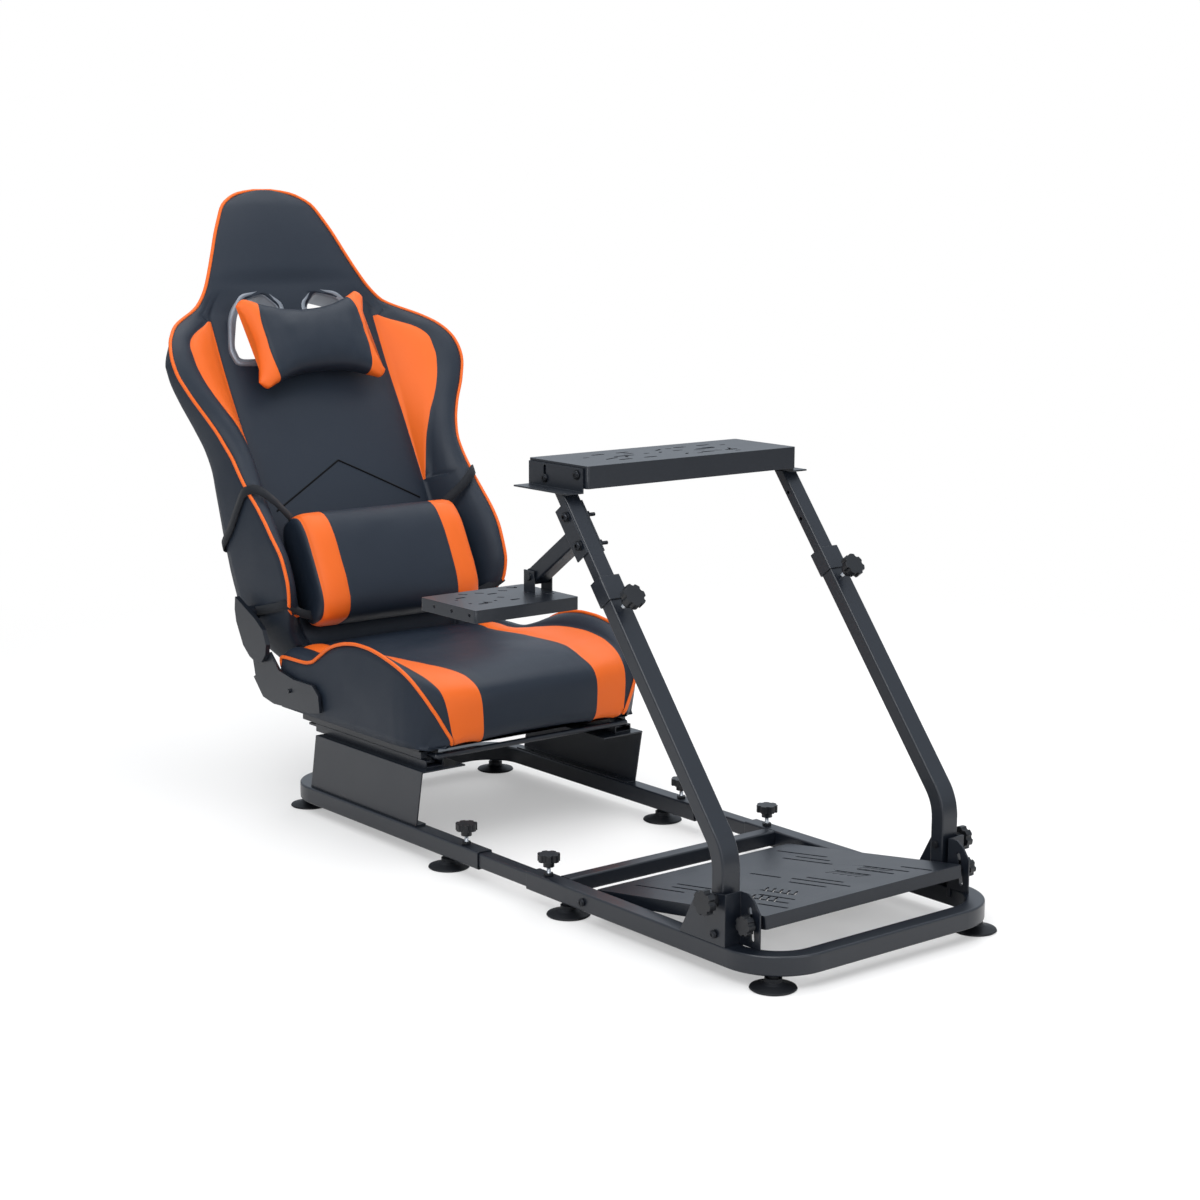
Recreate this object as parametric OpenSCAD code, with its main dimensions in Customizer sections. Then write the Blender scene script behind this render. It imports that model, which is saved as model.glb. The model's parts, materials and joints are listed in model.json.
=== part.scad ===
// Racing game cockpit: a tube floor frame in two halves on sliding extension tubes, two tilted
// posts with a wheel tray, a side shifter plate, a sloping pedal plate and a reclining bucket seat.
// Millimetres, +Z up, floor at Z = 0. The front of the cockpit is at -Y, the sitter's left is +X.

/* [Floor frame] */
// Outer width of the floor frame
frame_w = 500; // [460:1:560]
// Width and height of the square frame tube
rail = 30; // [28:1:34]
// Wall of the frame tube
rail_wall = 1.8; // [1.2:0.1:2.5]
// Height of the frame's underside over the floor
rail_lift = 22; // [18:1:30]
// Outer radius of the frame's bent corners
corner_r = 95; // [80:1:120]
// Front face of the frame, ahead of the reference line
front_y = 620; // [590:1:660]
// Rear face of the frame, behind the reference line
rear_y = 706; // [680:1:760]
// Rear half's open tube ends, behind the reference line
rear_socket_y = 88; // [70:1:110]
// Front half's open tube ends, ahead of the reference line
front_socket_y = 45; // [30:1:60]
// Width and height of the extension tube
ext_w = 25; // [22:1:25]
// Length of each extension tube
ext_len = 370; // [340:1:400]
// Width of the crossbar along the frame
cross_w = 25; // [20:1:30]
// Diameter of a suction foot
foot_d = 70; // [60:1:80]

/* [Column] */
// Tilt of the posts from the vertical
post_tilt = 38; // [34:1:42]
// Width of the lower post across the frame
post_w = 35; // [32:1:36]
// Depth of the lower post
post_d = 25; // [24:1:28]
// Wall of both posts
post_wall = 2; // [1.6:0.1:2.4]
// Running clearance round the upper post inside the lower post
post_gap = 1; // [0.8:0.1:1.5]
// Centre of the lower post's upright foot, ahead of the reference line
post_y = 497; // [480:1:510]
// Height where the post's upright and tilted centre lines meet
bend_z = 185; // [175:1:200]
// Bend radius at the post's centre line
bend_r = 80; // [60:1:100]
// Length of the tilted part of the lower post
lower_len = 440; // [420:1:460]
// Height of the tilt bolt over the floor
pivot_z = 67; // [64:1:72]
// Distance from the tilt bolt to the clamp knob
tilt_slot_r = 51; // [48:1:56]

/* [Wheel tray] */
// Width of the wheel tray
tray_w = 434; // [420:1:440]
// Depth of the wheel tray from front to rear
tray_d = 147; // [140:1:170]
// Height of the tray's folded lip
tray_h = 35; // [30:1:36]
// Height of the tray's top over the floor
tray_z = 710; // [700:1:730]
// Front edge of the tray, ahead of the reference line
tray_front = 158; // [150:1:165]
// Thickness of the folded sheet pieces
sheet = 2.5; // [2:0.1:3]

/* [Shifter] */
// Width of the shifter plate
shift_w = 196; // [180:1:210]
// Depth of the shifter plate
shift_d = 144; // [130:1:160]
// Height of the shifter plate's top over the floor
shift_z = 505; // [498:1:508]

/* [Pedal plate] */
// Width of the pedal plate
pedal_w = 412; // [390:1:416]
// Length of the pedal plate along its slope
pedal_l = 391; // [370:1:400]
// Slope of the pedal plate
pedal_tilt = 8.2; // [6:0.1:9]
// Depth of the folded lips of the pedal and shifter plates
lip = 20; // [18:1:24]

/* [Cushion and backrest] */
// Width of the seat cushion
cushion_w = 500; // [480:1:520]
// Length of the seat cushion
cushion_l = 450; // [430:1:470]
// Front of the seat cushion, behind the reference line
cushion_y = 240; // [225:1:255]
// Recline of the backrest from the vertical
recline = 27; // [22:1:30]
// Height of the seat brackets over the floor frame
bracket_h = 99; // [90:1:110]

/* [Hidden] */
$fn = 48;
hair = 0.3;
half_w = frame_w / 2;
rail_x = half_w - rail / 2;
rail_top = rail_lift + rail;
rail_mid = rail_lift + rail / 2;
edge_r = 3;
cross_y = -front_socket_y - 76;
ext_wall = 1.5;
rear_knob_y = rear_socket_y + 51;
front_knob_y = -front_socket_y - 40;
ext_mid = (rear_socket_y - front_socket_y) / 2 + 38.5;
ext_top = rail_mid + ext_w / 2;
corner_foot = (corner_r - rail / 2) * cos(45);
corner_x = half_w - corner_r;
foot_x = corner_x + corner_foot;
front_foot_y = -front_y + corner_r - corner_foot;
rear_foot_y = rear_y - corner_r + corner_foot;
mid_front_foot_y = -front_socket_y - 91;
mid_rear_foot_y = rear_socket_y + 102;

bolt_r = 3;
head_r = 6;
pin_gap = 0.1;
plate_gap = 1;
grip_t = 12;
post_x = half_w - sheet - plate_gap - post_w / 2;
bend_t = bend_r * tan(post_tilt / 2);
bend_lap = 0.5;
bend_swell = 0.05;
up_w = post_w - 2 * post_wall - 2 * post_gap;
up_d = post_d - 2 * post_wall - 2 * post_gap;
collar_t = 2.2;
collar_low = lower_len - 23;
collar_top = lower_len + 17;
collar_knob = collar_low - 14;
post_foot_z = rail_top + 8;
knob_z = pivot_z + tilt_slot_r;
web_y = -post_y - post_d / 2 - 10;
web_top = rail_top + 79;
flange_x = half_w - rail;
plate_x = tray_w / 2 + plate_gap;
tray_low = tray_z - tray_h;
arm_flange_z = tray_low - 5 - sheet;
tray_pivot_y = -tray_front + 22;
tray_pivot_z = tray_z - 15;
tray_slot_r = 80;
tray_slot_a = -9;

clamp_low = 502;
clamp_high = 592;
clamp_w = 30;
clamp_bolts = [520, 571];
arm_w = 26;
shift_pivot = [0, -50, shift_z + 24];
arm_top = [0, -158, shift_z + 102];
shift_x = post_x - 18;
shift_front = -130;

pedal_pivot = [0, -190, rail_mid];
pedal_rear = 19;
pedal_over = 10;
pedal_knob_dy = 353;
pedal_knob_y = pedal_knob_dy / cos(pedal_tilt);
pedal_knob_dz = pedal_knob_dy * tan(pedal_tilt);
pedal_knob_a = 180 - pedal_tilt;

seat_x = half_w - 7.5;
seat_bracket_y = 276;
seat_bracket_l = 336;
seat_bracket_lean = 19;
bracket_top = rail_top + bracket_h;
slider_x = 207;
slider_w = 36;
lower_rail_h = 14;
upper_rail_h = 12;
slide_gap = 0.4;
seat_low = bracket_top + lower_rail_h + slide_gap + upper_rail_h;
pan_t = 6;
cushion_low = seat_low + pan_t + hair;
cushion_end = cushion_y + cushion_l;
cushion_roll = 56;
recliner_x = cushion_w / 2 + 6;
recliner_t = 6;
cover_t = 9;
hinge_y = cushion_end + 68;
hinge_z = seat_low + 125.6;
hinge_r = 6;
hinge_up = 262;
hinge_fore = 43.5;
back_floor = -25;
back_face = -38;
panel_half_w = 184;
bezel_t = 4;
lower_half_w = 244;
pillow_half_w = 182;
back_widest = 323;
back_high = 632;
back_drop = 286;
home = [round((shift_x + shift_w - back_widest) / 2),
    round((front_y - hinge_y - (hinge_up + back_high) * sin(recline)) / 2), 0];

frame_black = [0.13, 0.14, 0.16];
knob_black = [0.07, 0.07, 0.08];
leather_dark = [0.12, 0.14, 0.18];
orange = [0.96, 0.47, 0.17];

// A rectangle centred on the origin with round corners of radius r
module round_rect(w, h, r) {
    square([w - 2 * r, h], center = true);
    square([w, h - 2 * r], center = true);
    for (sx = [-1, 1], sy = [-1, 1])
        translate([sx * (w / 2 - r), sy * (h / 2 - r)])
            circle(r);
}

// The section of a hollow tube
module tube_section(w, h, wall) {
    difference() {
        round_rect(w, h, edge_r);
        round_rect(w - 2 * wall, h - 2 * wall, edge_r - wall / 2);
    }
}

// Moves a piece so that the middle of the whole outline stands over the origin
module here() {
    translate(home) children();
}

// Copies the children to both sides of the frame
module both_sides() {
    children();
    mirror([1, 0, 0]) children();
}

// A straight rail tube from y1 to y2
module rail_run(y1, y2) {
    translate([rail_x, y2, rail_lift + rail / 2])
        rotate([90, 0, 0])
            linear_extrude(y2 - y1) tube_section(rail, rail, rail_wall);
}

// Half of a U-shaped frame whose open end is at leg_end and whose closed end reaches end_y
module frame_half(leg_end, end_y) {
    rail_run(leg_end, end_y - corner_r);
    translate([corner_x, end_y - corner_r, rail_lift + rail / 2])
        rotate_extrude(angle = 90)
            translate([corner_r - rail / 2, 0]) tube_section(rail, rail, rail_wall);
    translate([0, end_y - rail / 2, rail_lift + rail / 2])
        rotate([90, 0, 90])
            linear_extrude(corner_x) tube_section(rail, rail, rail_wall);
}

// A star grip of radius r on the XY plane
module star_grip(r, h) {
    difference() {
        cylinder(h = h, r = r);
        for (i = [0:6])
            rotate([0, 0, (i + 0.5) * 360 / 7])
                translate([r * 1.08, 0, -1]) cylinder(h = h + 2, r = r * 0.24);
    }
}

// A star knob along +Z whose stud starts at z = 0 and whose grip starts at neck
module star_knob(stud_r, neck, r, hub) {
    cylinder(h = neck, r = stud_r);
    translate([0, 0, neck - hub]) cylinder(h = hub + 1, r = r * 0.5);
    translate([0, 0, neck]) star_grip(r, grip_t);
}

// A slot of width w along an arc of radius r from angle a0 to a1, t thick
module arc_slot(r, w, a0, a1, t) {
    rotate([0, 0, a0])
        rotate_extrude(angle = a1 - a0) translate([r - w / 2, 0]) square([w, t]);
    for (a = [a0, a1])
        rotate([0, 0, a]) translate([r, 0, 0]) cylinder(h = t, r = w / 2);
}

// A straight slot of length l and width w along X, t deep from z = 0 down
module slot(l, w, t) {
    translate([-(l - w) / 2, -w / 2, -t]) cube([l - w, w, 2 * t]);
    for (s = [-1, 1])
        translate([s * (l - w) / 2, 0, -t]) cylinder(h = 2 * t, r = w / 2, $fn = 24);
}

// A folded sheet tray, open below, with its top at z = 0 and one corner at the origin
module folded_tray(w, d, h) {
    difference() {
        translate([w / 2, d / 2, -h]) linear_extrude(h) round_rect(w, d, 4);
        translate([w / 2, d / 2, -h - 1])
            linear_extrude(h + 1 - sheet) round_rect(w - 2 * sheet, d - 2 * sheet, 2);
    }
}

// Places the children at distance t along the tilted post of the right side
module on_post(t) {
    translate([-post_x, -post_y, bend_z])
        rotate([-post_tilt, 0, 0])
            translate([0, 0, t]) children();
}

// One suction foot under the frame
module foot() {
    rotate_extrude()
        polygon([[0, 0], [foot_d / 2 - 2, 0], [foot_d / 2, 1.5], [foot_d / 2 - 1, 3.5],
            [18, 8], [13, 11], [13, 17], [8, 17], [8, rail_lift], [0, rail_lift]]);
}

// The hole for a frame knob's stud in the top of the left rail
module stud_hole(y) {
    translate([rail_x, y, rail_mid]) cylinder(h = rail, r = bolt_r + pin_gap);
}

module rear_frame() {
    color(frame_black) here()
        both_sides()
            difference() {
                frame_half(rear_socket_y, rear_y);
                stud_hole(rear_knob_y);
            }
}

module front_frame() {
    color(frame_black) here()
        both_sides()
            difference() {
                mirror([0, 1, 0]) frame_half(front_socket_y, front_y);
                stud_hole(front_knob_y);
                translate([half_w - rail - 1, pedal_pivot[1], rail_mid])
                    rotate([0, 90, 0]) cylinder(h = rail + 2, r = bolt_r + pin_gap);
            }
}

module rear_feet() {
    color(knob_black) here()
        both_sides() {
            translate([foot_x, rear_foot_y, 0]) foot();
            translate([rail_x, mid_rear_foot_y, 0]) foot();
        }
}

module front_feet() {
    color(knob_black) here()
        both_sides() {
            translate([foot_x, front_foot_y, 0]) foot();
            translate([rail_x, mid_front_foot_y, 0]) foot();
        }
}

// A frame knob with the nut that is welded on the rail
module base_knob(y) {
    nut_h = 4;
    low = ext_top + hair;
    translate([rail_x, y, rail_top + hair]) cylinder(h = nut_h, r = 8, $fn = 6);
    translate([rail_x, y, low])
        star_knob(bolt_r, rail_top + 24 - low, 18, 9);
}

module rear_knobs() {
    color(knob_black) here() both_sides() base_knob(rear_knob_y);
}

module front_knobs() {
    color(knob_black) here() both_sides() base_knob(front_knob_y);
}

module extension_tubes() {
    color(frame_black) here()
        both_sides()
            translate([rail_x, ext_mid + ext_len / 2, rail_mid])
                rotate([90, 0, 0])
                    linear_extrude(ext_len) tube_section(ext_w, ext_w, ext_wall);
}

module crossbar() {
    color(frame_black) here()
        translate([-half_w + rail, cross_y + cross_w / 2, rail_top - cross_w / 2])
            rotate([90, 0, 90])
                linear_extrude(frame_w - 2 * rail) tube_section(cross_w, cross_w, ext_wall);
}

// The bracket that holds the foot of the right post: outer plate, web and inner flange
module column_bracket() {
    difference() {
        union() {
            translate([-half_w + sheet, 0, 0])
                rotate([90, 0, -90])
                    linear_extrude(sheet)
                        polygon([[-web_y, rail_top], [-web_y, web_top],
                            [-web_y - 62, web_top - 9], [-web_y - 100, rail_top]]);
            translate([-half_w, web_y, rail_top])
                cube([rail + sheet, sheet, web_top - rail_top]);
            translate([-flange_x, 0, 0])
                rotate([90, 0, 90])
                    linear_extrude(sheet)
                        polygon([[web_y + sheet, rail_top - 16], [web_y + sheet, web_top],
                            [web_y - 16, web_top], [web_y - 28, web_top - 8],
                            [web_y - 41, web_top - 26], [web_y - 41, rail_top],
                            [web_y - 4, rail_top], [web_y - 4, rail_top - 16]]);
        }
        translate([-half_w - 1, -post_y, pivot_z])
            rotate([0, 90, 0]) cylinder(h = sheet + 2, r = bolt_r + pin_gap);
        translate([-half_w - 1, -post_y, pivot_z])
            rotate([90, 0, 90])
                arc_slot(tilt_slot_r, 7, 62, 96, sheet + 2);
        translate([-flange_x - 1, pedal_pivot[1], pedal_pivot[2]])
            rotate([90, 0, 90])
                arc_slot(pedal_knob_y, 7, pedal_knob_a - 3.4, pedal_knob_a + 3.7, sheet + 2);
    }
}

module column_bracket_right() {
    color(frame_black) here() column_bracket();
}

module column_bracket_left() {
    color(frame_black) here() mirror([1, 0, 0]) column_bracket();
}

// The right lower post: upright foot, bend and tilted tube
module lower_post() {
    difference() {
        union() {
            translate([-post_x, -post_y, post_foot_z])
                linear_extrude(bend_z - bend_t - post_foot_z + bend_lap)
                    tube_section(post_w, post_d, post_wall);
            translate([-post_x, -post_y + bend_r, bend_z - bend_t])
                rotate([90, 0, -90])
                    rotate_extrude(angle = post_tilt)
                        translate([bend_r, 0])
                            tube_section(post_d + 2 * bend_swell, post_w + 2 * bend_swell,
                                post_wall + 2 * bend_swell);
            on_post(bend_t - bend_lap)
                linear_extrude(lower_len - bend_t + bend_lap)
                    tube_section(post_w, post_d, post_wall);
        }
        for (z = [pivot_z, knob_z])
            translate([-post_x - post_w, -post_y, z])
                rotate([0, 90, 0]) cylinder(h = 2 * post_w, r = bolt_r + hair);
        on_post(collar_knob)
            rotate([90, 0, 0]) cylinder(h = post_d, r = bolt_r + hair);
    }
}

module lower_post_right() {
    color(frame_black) here() lower_post();
}

module lower_post_left() {
    color(frame_black) here() mirror([1, 0, 0]) lower_post();
}

module post_collars() {
    color(frame_black) here()
        both_sides()
            difference() {
                on_post(collar_low)
                    linear_extrude(collar_top - collar_low)
                        round_rect(post_w + 2 * collar_t, post_d + 2 * collar_t, edge_r);
                on_post(collar_low - 1)
                    linear_extrude(lower_len - collar_low + 1) round_rect(post_w, post_d, edge_r);
                on_post(lower_len - 1)
                    linear_extrude(collar_top - lower_len + 2)
                        round_rect(up_w + 1.6, up_d + 1.6, edge_r);
            }
}

// The knob that clamps the upper post, on the front face of the collar
module height_knobs() {
    color(knob_black) here()
        both_sides()
            on_post(collar_knob)
                translate([0, -up_d / 2 - hair, 0])
                    rotate([90, 0, 0])
                        star_knob(bolt_r, 27, 19, 12);
}

// The knob through the arc slot of each bracket
module tilt_knobs() {
    nut_h = 5;
    neck = post_w + nut_h + 17;
    color(knob_black) here()
        both_sides()
            translate([-post_x + post_w / 2 + nut_h, -post_y, knob_z])
                rotate([0, -90, 0]) {
                    star_knob(bolt_r, neck, 19,
                        neck - nut_h - post_w - plate_gap - sheet - hair);
                    cylinder(h = nut_h - hair, r = head_r, $fn = 6);
                }
}

module pivot_bolts() {
    color(knob_black) here()
        both_sides()
            translate([-half_w, -post_y, pivot_z])
                rotate([0, 90, 0]) {
                    translate([0, 0, -4.5]) cylinder(h = 4.5 - hair, r = head_r);
                    translate([0, 0, -2]) cylinder(h = post_w + sheet + plate_gap + 3, r = bolt_r);
                }
}

// The right upper post, cut level under the tray bracket
module upper_post() {
    difference() {
        on_post(lower_len - 240)
            linear_extrude(460) tube_section(up_w, up_d, post_wall);
        for (t = clamp_bolts)
            on_post(t)
                translate([-up_w, 2, 0]) rotate([0, 90, 0]) cylinder(h = 2 * up_w, r = bolt_r);
        translate([-half_w - 20, -300, arm_flange_z]) cube([100, 400, 200]);
    }
}

module upper_post_right() {
    color(frame_black) here() upper_post();
}

module upper_post_left() {
    color(frame_black) here() mirror([1, 0, 0]) upper_post();
}

// The right end bracket of the wheel tray: plate with bolt hole and slot, flange on the post
module tray_bracket() {
    depth = tray_d - 12;
    y0 = -tray_front + 8;
    difference() {
        union() {
            translate([-half_w, y0, arm_flange_z]) cube([half_w - plate_x, depth, sheet]);
            translate([-plate_x - sheet, y0, arm_flange_z])
                cube([sheet, depth, tray_z - 4 - arm_flange_z]);
        }
        translate([-plate_x - sheet - 1, tray_pivot_y, tray_pivot_z])
            rotate([90, 0, 90]) {
                cylinder(h = sheet + 2, r = bolt_r + pin_gap);
                arc_slot(tray_slot_r, 7, tray_slot_a, tray_slot_a + 12.5, sheet + 2);
            }
    }
}

module tray_bracket_right() {
    color(frame_black) here() tray_bracket();
}

module tray_bracket_left() {
    color(frame_black) here() mirror([1, 0, 0]) tray_bracket();
}

// Wheel base holes in the tray's top: four slots round the middle and outer pairs
module wheel_tray() {
    color(frame_black) here()
        difference() {
            translate([-tray_w / 2, -tray_front, tray_z]) folded_tray(tray_w, tray_d, tray_h);
            translate([0, -tray_front + tray_d / 2, tray_z]) {
                for (sx = [-1, 1], sy = [-1, 1])
                    translate([sx * 60, sy * 35, 0]) slot(26, 7, 4);
                for (sx = [-1, 1], sy = [-1, 1])
                    translate([sx * 110, sy * 35, 0]) slot(26, 7, 4);
                for (sx = [-1, 1])
                    translate([sx * 85, 0, 0]) slot(40, 7, 4);
            }
            for (s = [-1, 1])
                translate([s * (tray_w / 2 - sheet / 2), tray_pivot_y, tray_pivot_z])
                    rotate([90, 0, 90]) {
                        translate([0, 0, -5]) cylinder(h = 10, r = bolt_r);
                        rotate([0, 0, tray_slot_a])
                            translate([tray_slot_r, 0, -5]) cylinder(h = 10, r = bolt_r);
                    }
        }
}

// Button head bolts that hold the tray between its brackets
module tray_bolts() {
    color(knob_black) here()
        both_sides()
            translate([-plate_x - sheet - hair, tray_pivot_y, tray_pivot_z])
                rotate([90, 0, 90])
                    for (p = [[0, 0], [tray_slot_r, tray_slot_a]])
                        rotate([0, 0, p[1]]) translate([p[0], 0, 0]) {
                            translate([0, 0, -3]) cylinder(h = 3, r = 6);
                            translate([0, 0, -1]) cylinder(h = sheet + 10, r = bolt_r);
                        }
}

// Two plates on the sides of the right upper post, with their two through bolts
module shifter_clamp() {
    bolt_l = up_w + 2 * sheet;
    color(frame_black) here()
        on_post(0) {
            for (s = [-1, 1])
                translate([s * (up_w + sheet) / 2 - sheet / 2, -up_d / 2 + 1, clamp_low])
                    cube([sheet, clamp_w, clamp_high - clamp_low]);
            for (t = clamp_bolts)
                translate([-bolt_l / 2 - 3, 2, t])
                    rotate([0, 90, 0]) {
                        cylinder(h = bolt_l + 6, r = bolt_r);
                        cylinder(h = 3, r = head_r);
                        translate([0, 0, bolt_l + 3]) cylinder(h = 3, r = head_r);
                    }
        }
}

module shifter_arm() {
    run = arm_top - shift_pivot;
    slope = atan2(run[2], run[1]);
    color(frame_black) here()
        difference() {
            translate([-post_x, 0, 0]) translate(shift_pivot)
                rotate([slope - 90, 0, 0]) {
                    linear_extrude(norm(run)) tube_section(up_w, arm_w, post_wall);
                    rotate([0, 90, 0])
                        translate([0, 0, -up_w / 2]) cylinder(h = up_w, r = arm_w / 2);
                }
            translate([-post_x - up_w, shift_pivot[1], shift_pivot[2]])
                rotate([0, 90, 0]) cylinder(h = 2 * up_w, r = bolt_r + pin_gap);
            on_post(0)
                translate([-50, -100, 0]) cube([100, 100 + up_d / 2, 900]);
        }
}

module shifter_plate() {
    color(frame_black) here()
        difference() {
            translate([-shift_x - shift_w, shift_front, shift_z])
                folded_tray(shift_w, shift_d, lip);
            for (ix = [0, 1], iy = [-1, 1])
                translate([-shift_x - shift_w + 45 + 60 * ix, shift_front + shift_d / 2 + iy * 30,
                    shift_z]) slot(18, 6, 4);
        }
}

// The two ears on the shifter plate and the bolt through them
module shifter_clevis() {
    ear_w = 26;
    color(frame_black) here()
        translate([-post_x, 0, 0]) {
            for (s = [-1, 1])
                difference() {
                    translate([s * (up_w / 2 + 2.5) - 1.25, shift_pivot[1] - ear_w / 2, shift_z])
                        cube([2.5, ear_w, shift_pivot[2] - shift_z + 10]);
                    translate([-up_w, shift_pivot[1], shift_pivot[2]])
                        rotate([0, 90, 0]) cylinder(h = 2 * up_w, r = bolt_r);
                }
            translate([-up_w / 2 - 7, shift_pivot[1], shift_pivot[2]])
                rotate([0, 90, 0]) {
                    cylinder(h = up_w + 14, r = bolt_r);
                    cylinder(h = 3, r = head_r);
                    translate([0, 0, up_w + 11]) cylinder(h = 3, r = head_r);
                }
        }
}

// Places the children on the pedal plate: origin over the hinge, -Y up the slope
module on_pedal() {
    translate(pedal_pivot) rotate([-pedal_tilt, 0, 0]) children();
}

// Its long slots as [across, middle ahead of the hinge, length]: those of both sides, then
// those between them
side_slots = [[152, 70, 120], [132, 117, 80], [113, 124, 115], [80, 260, 74], [104, 286, 80],
    [127, 286, 100], [151, 328, 66]];
mid_slots = [[0, 148, 72], [21, 260, 82], [4, 268, 130], [-17, 261, 83]];

module pedal_plate() {
    slot_w = 5;

    color(frame_black) here()
        on_pedal()
            difference() {
                translate([-pedal_w / 2, pedal_rear - pedal_l, pedal_over])
                    folded_tray(pedal_w, pedal_l, lip);
                for (p = side_slots, sx = [-1, 1])
                    translate([sx * p[0], -p[1], pedal_over])
                        rotate([0, 0, 90]) slot(p[2], slot_w, 4);
                for (p = mid_slots)
                    translate([p[0], -p[1], pedal_over])
                        rotate([0, 0, 90]) slot(p[2], slot_w, 4);
                for (s = [-1, 1], y = [0, -pedal_knob_y])
                    translate([s * pedal_w / 2, y, 0])
                        rotate([0, 90, 0])
                            translate([0, 0, -5]) cylinder(h = 10, r = bolt_r);
            }
}

module pedal_hinge_bolts() {
    lip_x = pedal_w / 2;
    color(knob_black) here()
        both_sides()
            translate([-lip_x + 6, pedal_pivot[1], pedal_pivot[2]])
                rotate([0, -90, 0]) {
                    cylinder(h = half_w - lip_x + 7, r = bolt_r);
                    translate([0, 0, 6 + hair])
                        cylinder(h = half_w - rail - lip_x - 2 * hair, r = head_r);
                    translate([0, 0, half_w - lip_x + 6 + hair]) cylinder(h = 4, r = head_r);
                }
}

module pedal_knobs() {
    lip_x = pedal_w / 2;
    spacer = flange_x - lip_x;
    color(knob_black) here()
        both_sides()
            on_pedal()
                translate([-lip_x + 6, -pedal_knob_y, 0])
                    rotate([0, -90, 0]) {
                        star_knob(bolt_r, spacer + 12, 15, 6 - hair);
                        translate([0, 0, 6 + hair])
                            cylinder(h = spacer - sheet - 2 * hair, r = head_r);
                    }
}

// The folded sheet that carries the right side of the seat
module seat_bracket() {
    y0 = seat_bracket_y;
    y1 = y0 + seat_bracket_l;
    difference() {
        union() {
            translate([-seat_x + sheet, 0, 0])
                rotate([90, 0, -90])
                    linear_extrude(sheet)
                        polygon([[-y0, rail_top], [-y1, rail_top],
                            [-y1 + seat_bracket_lean, bracket_top],
                            [-y0 + seat_bracket_lean, bracket_top]]);
            translate([-seat_x, y0 - seat_bracket_lean, bracket_top - sheet])
                cube([90, seat_bracket_l, sheet]);
            translate([-seat_x, y0, rail_top]) cube([20, seat_bracket_l, sheet]);
        }
        for (y = [y0 + 40, y1 - 40])
            translate([-seat_x + 12, y, rail_top - 1]) cylinder(h = sheet + 2, r = 3.5);
    }
}

module seat_bracket_right() {
    color(frame_black) here() seat_bracket();
}

module seat_bracket_left() {
    color(frame_black) here() mirror([1, 0, 0]) seat_bracket();
}

module slider_lower_rails() {
    y0 = seat_bracket_y - 6;
    l = seat_bracket_l + 14;
    color(frame_black) here()
        both_sides()
            difference() {
                translate([-slider_x - slider_w / 2, y0, bracket_top])
                    cube([slider_w, l, lower_rail_h]);
                translate([-slider_x - slider_w / 2 + 2, y0 - 1, bracket_top + 3])
                    cube([slider_w - 4, l + 2, lower_rail_h - 5]);
                translate([-slider_x - 8, y0 - 1, bracket_top + 3])
                    cube([16, l + 2, lower_rail_h]);
            }
}

module slider_upper_rails() {
    y0 = cushion_y + 45;
    l = cushion_l - 70;
    top = bracket_top + lower_rail_h + slide_gap;
    color(frame_black) here()
        both_sides() {
            translate([-slider_x - 6, y0, bracket_top + 5])
                cube([12, l - 10, lower_rail_h]);
            translate([-slider_x - 11, y0, bracket_top + 5]) cube([22, l - 10, 4]);
            translate([-slider_x - slider_w / 2, y0, top]) cube([slider_w, l, upper_rail_h]);
        }
}

// The bar under the front of the cushion that frees the slide
module slider_handle() {
    y0 = cushion_y + 45;
    z = seat_low - upper_rail_h / 2;
    color(frame_black) here() {
        both_sides()
            translate([-slider_x, y0, z]) rotate([90, 0, 0]) cylinder(h = 20, r = 5);
        translate([-slider_x, y0 - 20, z]) rotate([0, 90, 0]) cylinder(h = 2 * slider_x, r = 5);
        for (s = [-1, 1]) translate([s * slider_x, y0 - 20, z]) sphere(5);
    }
}

module seat_pan() {
    color(frame_black) here()
        translate([-slider_x - slider_w / 2, cushion_y + 50, seat_low])
            cube([2 * slider_x + slider_w, cushion_l - 10, pan_t]);
}

module seat_cushion() {
    color(leather_dark) here()
        translate([0, cushion_y, cushion_low]) intersection() {
            linear_extrude(cushion_w)
                whole_outline([[189, 0], [212, 12], [232, 32], [244, 56], [cushion_w / 2, 92],
                    [cushion_w / 2, cushion_l]]);
            union() {
                across(cushion_w)
                    polygon([[20, 0], [6, 10], [0, 42], [0, 80], [9, 101], [34, 114], [90, 121],
                        [210, 119], [360, 112], [cushion_l - 22, 108], [cushion_l - 5, 99],
                        [cushion_l, 78], [cushion_l, 16], [cushion_l - 8, 0]]);
                for (s = [-1, 1])
                    translate([s * (cushion_w - cushion_roll) / 2, 0, 0])
                        across(cushion_roll)
                            polygon([[30, 60], [24, 104], [48, 128], [98, 146], [160, 157],
                                [212, 158], [266, 147], [311, 125], [350, 104], [350, 60]]);
            }
        }
}

// A side profile drawn as [y, z], pulled w wide across the seat
module across(w) {
    translate([-w / 2, 0, 0])
        rotate([90, 0, 90])
            linear_extrude(w) children();
}

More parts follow.
